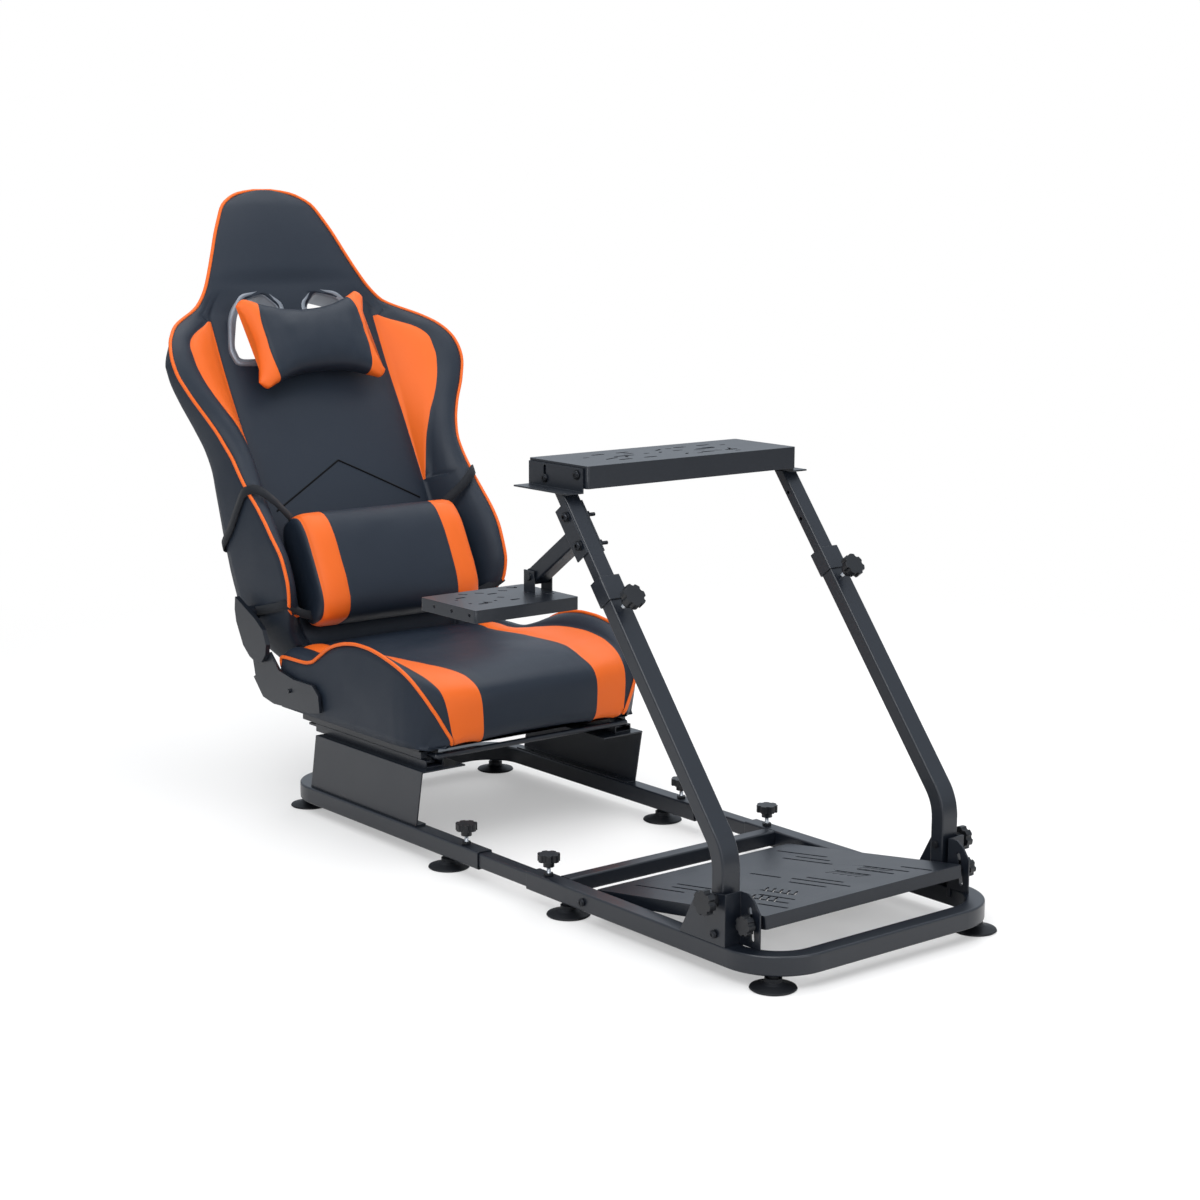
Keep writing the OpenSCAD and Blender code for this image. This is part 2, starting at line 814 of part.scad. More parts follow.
// The right side plate with the recline hinge's hole and its bolt into the cushion's frame
module recliner() {
    x_mid = -recliner_x - recliner_t / 2;
    disc_r = 28;
    bolt_y = hinge_y - 110;
    bolt_z = seat_low + 48;
    difference() {
        translate([x_mid, hinge_y, seat_low])
            across(recliner_t) {
                polygon([[-40, 108], [-71, 80], [-124, 71], [-186, 71], [-206, 55],
                    [-210, 25], [-179, 19], [-53, 14], [-15, 21], [17, 53], [-9, 68]]);
                polygon([[-45, 60], [-27, 118], [27, 118], [10, 55]]);
                translate([0, hinge_z - seat_low]) circle(disc_r);
            }
        translate([x_mid, hinge_y, hinge_z])
            across(recliner_t + 2) circle(hinge_r + pin_gap);
        translate([x_mid, bolt_y, bolt_z]) across(recliner_t + 2) circle(bolt_r);
    }
    translate([-recliner_x + 3 - hair / 2, bolt_y, bolt_z]) across(6 - hair) circle(9);
    translate([x_mid - recliner_t / 2, bolt_y, bolt_z]) across(8) circle(bolt_r + 1);
}

module recliner_right() {
    color(frame_black) here() recliner();
}

module recliner_left() {
    color(frame_black) here() mirror([1, 0, 0]) recliner();
}

// Places the children in the plane of the backrest: X across, Y up the back, Z to the front
module on_back() {
    translate([0, hinge_y, hinge_z])
        rotate([90 - recline, 0, 0])
            translate([0, hinge_up, hinge_fore]) children();
}

// Half of the backrest's outline as [x, up], from the head's top down the side
back_half = [[44, back_high], [66, back_high - 5], [88, 612], [103, 595], [117, 572],
    [131, 542], [150, 500], [170, 455], [184, 428], [206, 398], [228, 380], [256, 364],
    [277, 350], [297, 331], [314, 305], [322, 280], [back_widest, 260], [back_widest, 245],
    [306, 200], [281, 150], [265, 110], [254, 60], [252, 0], [250, -50], [250, -100],
    [248, -130], [lower_half_w, -150], [lower_half_w, -236], [226, -256], [206, -back_drop]];

// The half outline h and its mirror image as one closed shape
module whole_outline(h) {
    polygon(concat(h, [for (i = [len(h) - 1:-1:0]) [-h[i][0], h[i][1]]]));
}

// A harness hole in the plane of the backrest, grown by k about its middle
hole_mid = [95, 345];
hole_half = [[32, 388], [60, 417], [106, 404], [128, 372], [150, 312], [145, 286], [75, 286],
    [44, 335]];

module harness_hole(k) {
    polygon([for (p = hole_half) hole_mid + k * (p - hole_mid)]);
}

module backrest() {
    color(leather_dark) here()
        on_back()
            difference() {
                intersection() {
                    translate([0, 0, -200]) linear_extrude(400) whole_outline(back_half);
                    union() {
                        across(2 * back_widest)
                            polygon([[back_high, -26], [600, -21], [455, -30], [400, -33],
                                [375, -22], [350, -6], [320, 12], [285, 24], [245, 25],
                                [200, 24], [150, 20], [100, 20], [50, 27], [0, 40], [-50, 60],
                                [-100, 77], [-150, 87], [-190, 84], [-225, 68], [-250, 40],
                                [-back_drop, -12], [-back_drop, -84], [-200, -115],
                                [-150, -108], [-100, -99], [-50, -93], [0, -80], [50, -69],
                                [100, -53], [150, -40], [200, -23], [260, -10], [320, -24],
                                [380, -62], [455, -72], [600, -52], [back_high, -44]]);
                        across(430)
                            polygon([[440, -50], [440, -70], [380, -76], [260, -78],
                                [100, -86], [-40, -98], [-140, -101], [-140, -50]]);
                    }
                }
                across(2 * panel_half_w)
                    polygon([[-300, back_floor + 2], [-20, back_floor], [150, back_floor - 5],
                        [250, back_face], [436, back_face], [450, back_face + 9],
                        [450, 200], [-300, 200]]);
                both_sides()
                    translate([0, 0, -100]) linear_extrude(200) harness_hole(1);
            }
}

// Round covers over the recline hinge, with the hinge pin and the spacer to the backrest
module back_hinge_arms() {
    color(frame_black) here()
        on_back()
            both_sides() {
                translate([-recliner_x - recliner_t - plate_gap - cover_t / 2, 0, 0])
                    across(cover_t)
                        polygon([[-170, -65], [-190, -78], [-212, -84], [-259, -82], [-285, -70],
                            [-304, -52], [-308, -34], [-300, -14], [-285, -3], [-256, -2],
                            [-227, -19]]);
                translate([-recliner_x - recliner_t - plate_gap, -hinge_up, -hinge_fore])
                    rotate([0, 90, 0]) cylinder(h = recliner_t + plate_gap + 3, r = hinge_r);
                translate([-recliner_x - recliner_t - plate_gap, -208, -55])
                    rotate([0, 90, 0])
                        cylinder(h = recliner_x + recliner_t + plate_gap - lower_half_w - hair,
                            r = 14);
            }
}

// Plastic rims of the harness holes with a sleeve through the backrest
module hole_bezels() {
    color([0.5, 0.5, 0.52]) here()
        on_back()
            both_sides()
                difference() {
                    union() {
                        translate([0, 0, back_face + hair]) linear_extrude(bezel_t) harness_hole(1.12);
                        translate([0, 0, back_face - 36])
                            linear_extrude(36 + bezel_t) harness_hole(0.99);
                    }
                    translate([0, 0, -100]) linear_extrude(200) harness_hole(0.93);
                }
}

module neck_pillow() {
    color(leather_dark) here()
        on_back()
            translate([0, 302, back_face + bezel_t + 2 * hair])
                linear_extrude(72) round_rect(288, 186, 40);
}

module lumbar_pillow() {
    color(orange) here()
        on_back()
            translate([0, -160, back_floor + 2 + hair])
                linear_extrude(108) round_rect(2 * pillow_half_w, 204, 50);
}

// One strap right round the backrest at height s, between its front at f and its rear at r
module strap(s, f, r) {
    outer = 253;
    t = 2;
    w = 25;
    open_w = 2 * (pillow_half_w + hair);
    difference() {
        translate([-outer, s, r]) cube([2 * outer, w, f - r]);
        translate([-outer + t, s - 1, r + t]) cube([2 * (outer - t), w + 2, f - r - 2 * t]);
        translate([-open_w / 2, s - 1, 0]) cube([open_w, w + 2, 200]);
    }
}

module back_straps() {
    color(knob_black) here()
        on_back() {
            strap(-88, 78, -104);
            strap(-180, 91, -116);
        }
}

rear_frame();
rear_feet();
rear_knobs();
seat_bracket_right();
seat_bracket_left();
slider_lower_rails();
extension_tubes();
front_frame();
crossbar();
front_feet();
front_knobs();
column_bracket_right();
column_bracket_left();
lower_post_right();
lower_post_left();
post_collars();
tilt_knobs();
height_knobs();
pivot_bolts();
upper_post_right();
upper_post_left();
tray_bracket_right();
tray_bracket_left();
shifter_clamp();
shifter_arm();
wheel_tray();
tray_bolts();
shifter_plate();
shifter_clevis();
pedal_plate();
pedal_knobs();
pedal_hinge_bolts();
slider_upper_rails();
slider_handle();
seat_pan();
seat_cushion();
recliner_right();
recliner_left();
backrest();
back_hinge_arms();
hole_bezels();
neck_pillow();
lumbar_pillow();
back_straps();
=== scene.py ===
"""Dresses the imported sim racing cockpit: powder-coated frame, bucket seat with piping, pillows and straps."""

import json
import math

import bmesh
import bpy
from mathutils import Matrix, Vector, noise


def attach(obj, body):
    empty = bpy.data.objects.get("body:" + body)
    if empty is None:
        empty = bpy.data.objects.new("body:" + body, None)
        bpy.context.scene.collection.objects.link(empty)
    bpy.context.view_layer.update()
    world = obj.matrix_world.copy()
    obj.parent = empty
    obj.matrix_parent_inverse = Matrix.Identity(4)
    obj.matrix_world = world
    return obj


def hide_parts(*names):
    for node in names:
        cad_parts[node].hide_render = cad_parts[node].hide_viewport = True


bl_info = {
    "name": "Sim racing cockpit",
    "version": (1, 0, 0),
    "blender": (4, 5, 0),
    "location": "View3D > Sidebar > Cockpit",
    "description": "Builds the looks of a sim racing cockpit around its packed frame",
    "category": "Object",
}

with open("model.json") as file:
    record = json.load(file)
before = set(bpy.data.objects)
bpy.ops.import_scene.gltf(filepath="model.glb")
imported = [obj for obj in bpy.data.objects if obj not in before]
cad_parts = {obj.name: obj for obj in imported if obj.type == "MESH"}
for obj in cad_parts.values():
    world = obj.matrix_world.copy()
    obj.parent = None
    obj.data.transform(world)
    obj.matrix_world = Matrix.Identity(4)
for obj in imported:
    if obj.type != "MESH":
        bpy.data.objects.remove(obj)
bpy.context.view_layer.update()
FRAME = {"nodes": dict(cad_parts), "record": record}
JOINTS = {j["name"]: j for j in FRAME["record"]["behaviour"]["joints"]}

NODE_SLOTS = {s["node"]: s["material_slot"] for s in FRAME["record"]["subparts"]}

MM = 0.001
HINGE = Vector(JOINTS["backrest_recline"]["pos_m"])
# The recline hinge's distance behind the cockpit's own origin and its height, in millimetres
HINGE_BEHIND, HINGE_HEIGHT = 758, 303
HOME = HINGE - Vector((0, HINGE_BEHIND, HINGE_HEIGHT)) * MM
RECLINE = math.radians(27)
UP_BACK = Vector((0, math.sin(RECLINE), math.cos(RECLINE)))
OUT_FRONT = Vector((0, -math.cos(RECLINE), math.sin(RECLINE)))
SEAT_MIDDLE = HINGE + (UP_BACK * 262 + OUT_FRONT * 43.5) * MM

# Half-width of the backrest's rim by height up the back, both in millimetres
RIM_WIDTH = [
    (-285, 206), (-262, 224), (-240, 239), (-200, 244), (-150, 246), (-130, 248), (-100, 250), (-50, 250),
    (0, 252), (60, 254), (110, 265), (150, 281), (200, 306), (245, 321), (262, 322), (280, 320),
    (305, 312), (330, 296), (350, 277), (365, 256), (382, 228), (398, 207), (428, 184),
    (455, 170), (500, 150), (545, 131), (575, 116), (600, 102), (615, 86), (628, 62), (634, 38),
]
# Depths out of the backrest's front by height up it: the rim's front and rear edges, the middle
# panel's face and the shell's rear
RIM_FRONT = [
    (-285, -12), (-262, 8), (-250, 36), (-225, 66), (-190, 82), (-150, 85), (-100, 76), (-50, 60), (0, 41),
    (50, 28), (100, 21), (150, 20), (200, 23), (245, 24), (280, 21), (320, 9), (350, -8),
    (375, -22), (400, -31), (455, -29), (600, -22), (634, -27),
]
RIM_REAR = [
    (-285, -82), (-262, -90), (-200, -113), (-150, -107), (-100, -98), (-50, -92), (0, -80), (50, -69),
    (100, -53), (150, -40), (200, -24), (260, -11), (320, -26), (380, -60), (455, -72),
    (600, -54), (634, -40),
]
PANEL_FRONT = [
    (-285, -30), (-262, -24), (-20, -25), (150, -30), (250, -36), (300, -37), (436, -37), (470, -29),
    (600, -20), (634, -26),
]
SHELL_REAR = [
    (-285, -84), (-262, -92), (-140, -101), (-40, -98), (100, -87), (260, -78), (380, -76), (455, -73),
    (600, -55), (634, -41),
]
# Distances across by height up the back: the panel's edge and the orange inserts' outer edge
PANEL_EDGE = [
    (-285, 160), (-262, 176), (-200, 184), (374, 184), (400, 172), (440, 140), (500, 112), (600, 74),
    (634, 24),
]
INSERT_OUTER = [
    (4, 185), (84, 199), (137, 218), (165, 234), (196, 250), (230, 263), (265, 270),
    (295, 270), (312, 263), (328, 248), (342, 228), (356, 206), (372, 186),
]
# The orange inserts run between these heights up the back
INSERT_LOW, INSERT_HIGH = 4, 372
SEAM_RADIUS = 0.00176
HARNESS_HOLE = [(32, 388), (60, 417), (106, 404), (128, 372), (150, 312), (145, 286), (75, 286), (44, 335)]
HOLE_MIDDLE = (95, 345)


def curve_through(points):
    """A smooth function through (position, value) points that doesn't overshoot between them."""
    xs = [p[0] for p in points]
    ys = [p[1] for p in points]
    steps = [(ys[i + 1] - ys[i]) / (xs[i + 1] - xs[i]) for i in range(len(xs) - 1)]
    slopes = [steps[0]]
    for i in range(1, len(steps)):
        a, b = steps[i - 1], steps[i]
        slopes.append(0 if a * b <= 0 else 2 * a * b / (a + b))
    slopes.append(steps[-1])

    def value(x):
        if x <= xs[0]:
            return ys[0]
        if x >= xs[-1]:
            return ys[-1]
        i = max(k for k in range(len(xs) - 1) if xs[k] <= x)
        w = xs[i + 1] - xs[i]
        t = (x - xs[i]) / w
        return (
            (1 + 2 * t) * (1 - t) ** 2 * ys[i]
            + t * (1 - t) ** 2 * w * slopes[i]
            + t * t * (3 - 2 * t) * ys[i + 1]
            + t * t * (t - 1) * w * slopes[i + 1]
        )

    return value


rim_width = curve_through(RIM_WIDTH)
rim_front = curve_through(RIM_FRONT)
rim_rear = curve_through(RIM_REAR)
panel_front = curve_through(PANEL_FRONT)
shell_rear = curve_through(SHELL_REAR)
panel_edge = curve_through(PANEL_EDGE)
insert_outer = curve_through(INSERT_OUTER)


def on_back(x, up, front):
    """A point of the reclined backrest, from millimetres across, up the back and out of its front."""
    return SEAT_MIDDLE + (Vector((x, 0, 0)) + UP_BACK * up + OUT_FRONT * front) * MM


def at(x, y, z):
    """A point of the cockpit, from millimetres before it is moved to its place."""
    return HOME + Vector((x, y, z)) * MM


# ---------------------------------------------------------------- finishes


def rgb(text):
    """A colour written as six hex digits, as the linear values that a shader takes."""
    parts = [int(text[i : i + 2], 16) / 255 for i in (0, 2, 4)]
    return [c / 12.92 if c < 0.04045 else ((c + 0.055) / 1.055) ** 2.4 for c in parts] + [1]


def finish(
    name, colour, rough, metal=0.0, grain=0.0, grain_size=1.0, patches=0.0, sheen=0.0, coat=0.0,
    kind="NOISE", edge=0.0, shine=0.5,
):
    """A surface whose small grain is a bump and whose faint patches change its gloss."""
    mat = bpy.data.materials.new(name)
    mat.use_nodes = True
    nodes, links = mat.node_tree.nodes, mat.node_tree.links
    shader = nodes["Principled BSDF"]
    shader.inputs["Base Color"].default_value = colour
    shader.inputs["Roughness"].default_value = rough
    shader.inputs["Metallic"].default_value = metal
    shader.inputs["Sheen Weight"].default_value = sheen
    shader.inputs["Coat Weight"].default_value = coat
    shader.inputs["Specular IOR Level"].default_value = shine
    place = nodes.new("ShaderNodeTexCoord")
    soft_edge = None
    if edge:
        soft_edge = nodes.new("ShaderNodeBevel")
        soft_edge.samples = 4
        soft_edge.inputs["Radius"].default_value = edge
        links.new(soft_edge.outputs["Normal"], shader.inputs["Normal"])
    if grain:
        if kind == "LEATHER":
            cells = nodes.new("ShaderNodeTexVoronoi")
            cells.feature = "DISTANCE_TO_EDGE"
            cells.inputs["Scale"].default_value = 900 / grain_size
            height = cells.outputs["Distance"]
        else:
            cells = nodes.new("ShaderNodeTexNoise")
            cells.inputs["Scale"].default_value = 1400 / grain_size
            cells.inputs["Detail"].default_value = 2
            height = cells.outputs["Fac"]
        links.new(place.outputs["Object"], cells.inputs["Vector"])
        bump = nodes.new("ShaderNodeBump")
        bump.inputs["Strength"].default_value = grain
        bump.inputs["Distance"].default_value = 0.0004
        links.new(height, bump.inputs["Height"])
        if soft_edge:
            links.new(soft_edge.outputs["Normal"], bump.inputs["Normal"])
        links.new(bump.outputs["Normal"], shader.inputs["Normal"])
    if patches:
        cloud = nodes.new("ShaderNodeTexNoise")
        cloud.inputs["Scale"].default_value = 9
        cloud.inputs["Detail"].default_value = 4
        links.new(place.outputs["Object"], cloud.inputs["Vector"])
        ramp = nodes.new("ShaderNodeMapRange")
        ramp.inputs["From Min"].default_value = 0.3
        ramp.inputs["From Max"].default_value = 0.7
        ramp.inputs["To Min"].default_value = rough - patches
        ramp.inputs["To Max"].default_value = rough + patches
        links.new(cloud.outputs["Fac"], ramp.inputs["Value"])
        links.new(ramp.outputs["Result"], shader.inputs["Roughness"])
    return mat


FINISHES = {}


def make_finishes(looks):
    """The finishes that the pieces share."""
    coat = list(looks.coat_colour) + [1]
    leather = list(looks.leather_colour) + [1]
    bright = list(looks.accent_colour) + [1]
    FINISHES["frame_black"] = finish(
        "powder_coat", coat, 0.36, 0.0, 0.05, 1.0, 0.02, coat=0.06, edge=0.0014, shine=0.42
    )
    FINISHES["leather_dark"] = finish(
        "dark_leather", leather, 0.5, 0.0, 0.35, 1.0, 0.06, kind="LEATHER", shine=0.25
    )
    FINISHES["leather_orange"] = finish(
        "orange_leather", bright, 0.52, 0.0, 0.3, 1.0, 0.04, kind="LEATHER", shine=0.25
    )
    FINISHES["piping_orange"] = finish("orange_piping", bright, 0.5, 0.0, 0.2, shine=0.25)
    FINISHES["foot_rubber"] = finish(
        "foot_rubber", rgb("101216"), 0.55, 0.0, 0.2, 1.5, 0.05, edge=0.001, shine=0.25
    )
    FINISHES["knob_plastic"] = finish(
        "knob_plastic", rgb("101216"), 0.4, 0.0, 0.2, 1.2, 0.04, edge=0.0012, shine=0.35
    )
    FINISHES["bolt_steel"] = finish("black_oxide_steel", rgb("24262a"), 0.32, 0.8, 0.1, 1.0, 0.05)
    FINISHES["bright_steel"] = finish("zinc_steel", rgb("b9bcc0"), 0.3, 1.0, 0.1, 1.0, 0.05)
    FINISHES["bezel_plastic"] = finish("satin_grey_plastic", rgb("6d737c"), 0.34, 0.2, 0.1, 1.0, 0.03)
    FINISHES["strap_web"] = finish(
        "elastic_web", rgb("16191e"), 0.75, 0.0, 0.4, 2.0, 0.0, sheen=0.05, shine=0.2
    )
    FINISHES["thread_dark"] = finish("dark_thread", rgb("08090b"), 0.7, shine=0.1)


# ---------------------------------------------------------------- building


def new_piece(name, verts, faces, mats, picks=None):
    """An object from points in place, with its faces' finishes by number and outward faces."""
    mesh = bpy.data.meshes.new(name)
    mesh.from_pydata([tuple(v) for v in verts], [], faces)
    for m in mats:
        mesh.materials.append(FINISHES[m])
    if picks:
        mesh.polygons.foreach_set("material_index", picks)
    obj = bpy.data.objects.new(name, mesh)
    bpy.context.scene.collection.objects.link(obj)
    bm = bmesh.new()
    bm.from_mesh(mesh)
    bmesh.ops.remove_doubles(bm, verts=bm.verts, dist=0.00002)
    bmesh.ops.dissolve_degenerate(bm, edges=bm.edges, dist=0.00001)
    bmesh.ops.recalc_face_normals(bm, faces=bm.faces)
    for f in bm.faces:
        f.smooth = True
    bm.to_mesh(mesh)
    bm.free()
    return obj


def apply_modifiers(obj):
    """Bakes an object's modifiers into its mesh."""
    graph = bpy.context.evaluated_depsgraph_get()
    mesh = bpy.data.meshes.new_from_object(obj.evaluated_get(graph))
    obj.modifiers.clear()
    obj.data = mesh


def loft(rings, caps=True):
    """Points and faces of a skin over rings of equally many points."""
    n = len(rings[0])
    verts = [p for ring in rings for p in ring]
    faces = []
    for i in range(len(rings) - 1):
        for j in range(n):
            k = (j + 1) % n
            faces.append((i * n + j, i * n + k, (i + 1) * n + k, (i + 1) * n + j))
    if caps:
        faces.append(tuple(range(n)))
        faces.append(tuple((len(rings) - 1) * n + j for j in range(n)))
    return verts, faces


def tube(name, path, radius, mat, body, sides):
    """A round cord along a path, with closed ends."""
    rings = []
    side = None
    for i, p in enumerate(path):
        run = (path[min(i + 1, len(path) - 1)] - path[max(i - 1, 0)]).normalized()
        if side is None:
            side = run.cross(Vector((0.13, 0.22, 0.97))).normalized()
        side = (side - run * side.dot(run)).normalized()
        other = run.cross(side)
        rings.append(
            [
                p + (side * math.cos(t) + other * math.sin(t)) * radius
                for t in [2 * math.pi * k / sides for k in range(sides)]
            ]
        )
    verts, faces = loft(rings)
    obj = new_piece(name, verts, faces, [mat])
    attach(obj, body)


# ---------------------------------------------------------------- backrest


def back_ring(up):
    """Half of one ring round the backrest: (x, front, finish of the strip that follows)."""
    w, f, r = rim_width(up), rim_front(up), rim_rear(up)
    n, rs = panel_front(up), shell_rear(up)
    e = min(panel_edge(up), w - 14)
    has_insert = INSERT_LOW <= up <= INSERT_HIGH
    io = insert_outer(up) if has_insert else e + 0.4 * (w - e)
    io = min(max(io, e + 0.8), w - 8)
    groove = 1.6 * min(1, max(0, (425 - up) / 40))
    crown = 5 + 3 * min(1, max(0, (up - 380) / 60))
    swell = 19 * math.exp(-(((up - 75) / 120) ** 2))
    smooth = min(1, max(0, (up - 385) / 45))
    taper = 34 * min(1, max(0, (up - 270) / 110)) * min(1, (w - 20) / 60)

    def face(x):
        u = (x - e) / (w - e)
        return n + (f - n) * (1 - (1 - u) ** 1.9) + swell * math.sin(math.pi * u)

    ring = []
    for k in range(9):
        t = k / 8
        ring.append((t * (e - 4), n + crown * (1 - t * t) * min(1, w / 200), 0))
    ring.append((e - 0.2, n - groove, 1 if has_insert else 0))
    wide = io - e
    for t in (0.12, 0.35, 0.65, 0.88):
        x = e + wide * t
        ring.append((x, face(x) + 1.2 * math.sin(math.pi * t) * min(1, wide / 40), 1 if has_insert else 0))
    ring.append((io, face(io) - groove * (1 if has_insert else 0), 0))
    rest = w - io
    for t in (0.12, 0.3, 0.5, 0.7, 0.86, 0.95):
        x = io + rest * t
        ring.append((x, face(x) + 3.5 * math.sin(math.pi * t) * min(1, rest / 40), 0))
    ring = [
        (x, y + smooth * (n + (f - n) * (x / w) ** 2 + 8 * (1 - (x / w) ** 2) - y), m) for x, y, m in ring
    ]
    ring.append((w, f - 1.5, 0))
    deep = f - r
    for t in (0.12, 0.3, 0.5, 0.7, 0.88):
        ring.append((w - taper * t + 2.5 * math.sin(math.pi * t) * min(1, deep / 60), f - deep * t, 0))
    w -= taper
    ring.append((w - 2, r + 2, 0))
    shell = min(213, w - 16)
    drop = rs - r
    for t in (0.3, 0.75):
        ring.append((w - 4 - (w - 4 - shell) * t, r - 1.2, 0))
    ring.append((shell, r + 0.1 * drop, 0))
    ring.append((shell - 4, r + 0.6 * drop, 0))
    ring.append((shell - 10, rs + 1.5, 0))
    for t in (0.8, 0.55, 0.3, 0.12):
        ring.append(((shell - 16) * t, rs - 1.5 * (1 - t * t), 0))
    return ring


def harness_prism(grow, low, high, side):
    """A solid through one harness hole, from one depth to another, with rounded corners."""
    mx, ms = HOLE_MIDDLE
    pts = []
    count = len(HARNESS_HOLE)
    for i, (x, s) in enumerate(HARNESS_HOLE):
        ax, a_s = HARNESS_HOLE[i - 1]
        bx, b_s = HARNESS_HOLE[(i + 1) % count]
        for t in (0, 0.25, 0.5, 0.75, 1):
            p = [(ax - x) * 0.24, (a_s - s) * 0.24]
            q = [(bx - x) * 0.24, (b_s - s) * 0.24]
            k1, k2 = (1 - t) ** 2, t * t
            pts.append((x + p[0] * k1 + q[0] * k2, s + p[1] * k1 + q[1] * k2))
    out = []
    for x, s in pts:
        d = math.hypot(x - mx, s - ms)
        k = (d + grow) / d
        out.append((side * (mx + (x - mx) * k), ms + (s - ms) * k))
    return [[on_back(x, s, low) for x, s in out], [on_back(x, s, high) for x, s in out]]


def stretched(up):
    """The lowest end of the backrest hangs a little lower, behind the cushion."""
    return up - 9 * max(0, -250 - up) / 35


def build_backrest():
    """The upholstered shell with its pocket, bolsters, inserts and harness holes."""
    ups = [-285, -283, -278] + [-271 + 7.0 * k for k in range(130)]
    ups = [u for u in ups if u < 630] + [631, 634]
    rings, kinds = [], []
    for up in ups:
        half = back_ring(up)
        ring = [on_back(x, stretched(up), f) for x, f, m in half]
        other = [on_back(-x, stretched(up), f) for x, f, m in reversed(half[1:])]
        rings.append(ring + other)
        kinds.append([m for x, f, m in half])
    verts, faces = loft(rings)
    n = len(rings[0])
    h = len(kinds[0])
    picks = []
    for i in range(len(ups) - 1):
        mid = (ups[i] + ups[i + 1]) / 2
        for j in range(n):
            col = j if j < h - 1 else (n - 1 - j)
            mark = kinds[i][col] and kinds[i + 1][col] and INSERT_LOW < mid < INSERT_HIGH
            picks.append(1 if mark else 0)
    picks += [0, 0]
    back = new_piece("backrest_cover", verts, faces, ["leather_dark", "leather_orange"], picks)
    for side in (-1, 1):
        cut = new_piece("cutter", *loft(harness_prism(3, -200, 200, side)), ["leather_dark"])
        mod = back.modifiers.new("hole", "BOOLEAN")
        mod.operation = "DIFFERENCE"
        mod.solver = "EXACT"
        mod.object = cut
        apply_modifiers(back)
        bpy.data.objects.remove(cut)
    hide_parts("backrest")
    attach(back, "back")


def build_back_piping(radius):
    """Piping round the rim, from one lower corner over the head to the other."""
    path = [on_back(196, -243, 30), on_back(214, -247, 32), on_back(230, -244, 40)]
    ups = [-236 + 8 * k for k in range(109)]
    for up in [u for u in ups if u < 622]:
        path.append(on_back(rim_width(up) + 0.6, up, rim_front(up) + 0.4))
    for up in (624, 629, 633):
        path.append(on_back(rim_width(up), up + 0.5, rim_front(up) + 1))
    path.append(on_back(20, 636, -25))
    mirrored = [Vector((2 * HINGE.x - p.x, p.y, p.z)) for p in reversed(path)]
    tube("backrest_piping", path + mirrored, radius, "piping_orange", "back", sides=12)


def build_bezels():
    """A rounded grey rim with a sleeve through each harness hole."""
    rim = (
        (17.5, -36.5), (17, -33), (15, -30.5), (11, -29.6), (8, -30.2), (6.5, -31.6), (3, -31.6),
        (0.8, -33.5), (0, -37),
        (0, -74), (0.6, -78), (3, -80), (9, -80), (12, -77),
    )
    for side in (-1, 1):
        rings = [harness_prism(out, depth, depth + 1, side)[0] for out, depth in rim]
        rings.append(rings[0])
        verts, faces = loft(rings, caps=False)
        tag = "left" if side > 0 else "right"
        hole = new_piece("harness_bezel_" + tag, verts, faces, ["bezel_plastic"])
        if side > 0:
            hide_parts("hole_bezels")
        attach(hole, "back")


# A strap's section, in shares of its width and thickness, and its sizes in millimetres
STRAP_SECTION = ((-0.5, 0), (-0.5, 1), (0, 1.15), (0.5, 1), (0.5, 0))
STRAP_WIDTH, STRAP_THICK = 17, 1.4


def ribbon(name, path, normals, width, thick, mat, body):
    """A flat strap along a path, with its flat side towards the given normals."""
    rings = []
    for i, p in enumerate(path):
        run = (path[min(i + 1, len(path) - 1)] - path[max(i - 1, 0)]).normalized()
        up = (normals[i] - run * normals[i].dot(run)).normalized()
        wide = run.cross(up)
        rings.append([p + (wide * a * width + up * b * thick) * MM for a, b in STRAP_SECTION])
    verts, faces = loft(rings)
    obj = new_piece(name, verts, faces, [mat])
    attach(obj, body)
    return obj


# The paths of the upper and lower strap: across, up, front, then which way the flat side faces
UPPER_STRAP = (
    (172, -62, 34, -0.1, 1), (196, -46, 50, -0.4, 1), (214, -33, 60, -0.3, 1), (232, -18, 63, 0, 1),
    (248, -5, 56, 0.5, 0.8), (256.5, -4, 38, 1, 0.1), (257, -22, 0, 1, 0), (256, -48, -50, 1, 0),
    (252, -62, -94, 0.8, -0.6), (240, -66, -99.5, 0.1, -1), (210, -70, -103, 0, -1),
    (120, -76, -105, 0, -1), (0, -80, -105, 0, -1),
)
LOWER_STRAP = (
    (174, -250, 26, 0, 1), (196, -247, 33, -0.2, 1), (222, -240, 47, -0.2, 1), (240, -232, 58, 0.3, 1),
    (246, -229, 50, 1, 0.5), (247.5, -226, 30, 1, 0), (248, -214, -20, 1, 0), (247, -200, -80, 1, 0),
    (246, -194, -112, 0.7, -0.7), (230, -192, -119, 0, -1), (120, -186, -120, 0, -1),
    (0, -184, -120, 0, -1),
)


def build_straps():
    """Elastic straps that run from the lumbar pillow over the rims and round behind."""
    for side in (-1, 1):
        tag = "left" if side > 0 else "right"
        for level, points in (("upper", UPPER_STRAP), ("lower", LOWER_STRAP)):
            across = [curve_through([(i, p[k]) for i, p in enumerate(points)]) for k in range(5)]
            path, normals = [], []
            for i in range(4 * (len(points) - 1) + 1):
                x, up, front, nx, nf = [c(i / 4) for c in across]
                path.append(on_back(side * x, up, front))
                normals.append(Vector((side * nx, 0, 0)) + OUT_FRONT * nf)
            name = "pillow_strap_" + level + "_" + tag
            ribbon(name, path, normals, STRAP_WIDTH, STRAP_THICK, "strap_web", "back")
    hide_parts("back_straps")


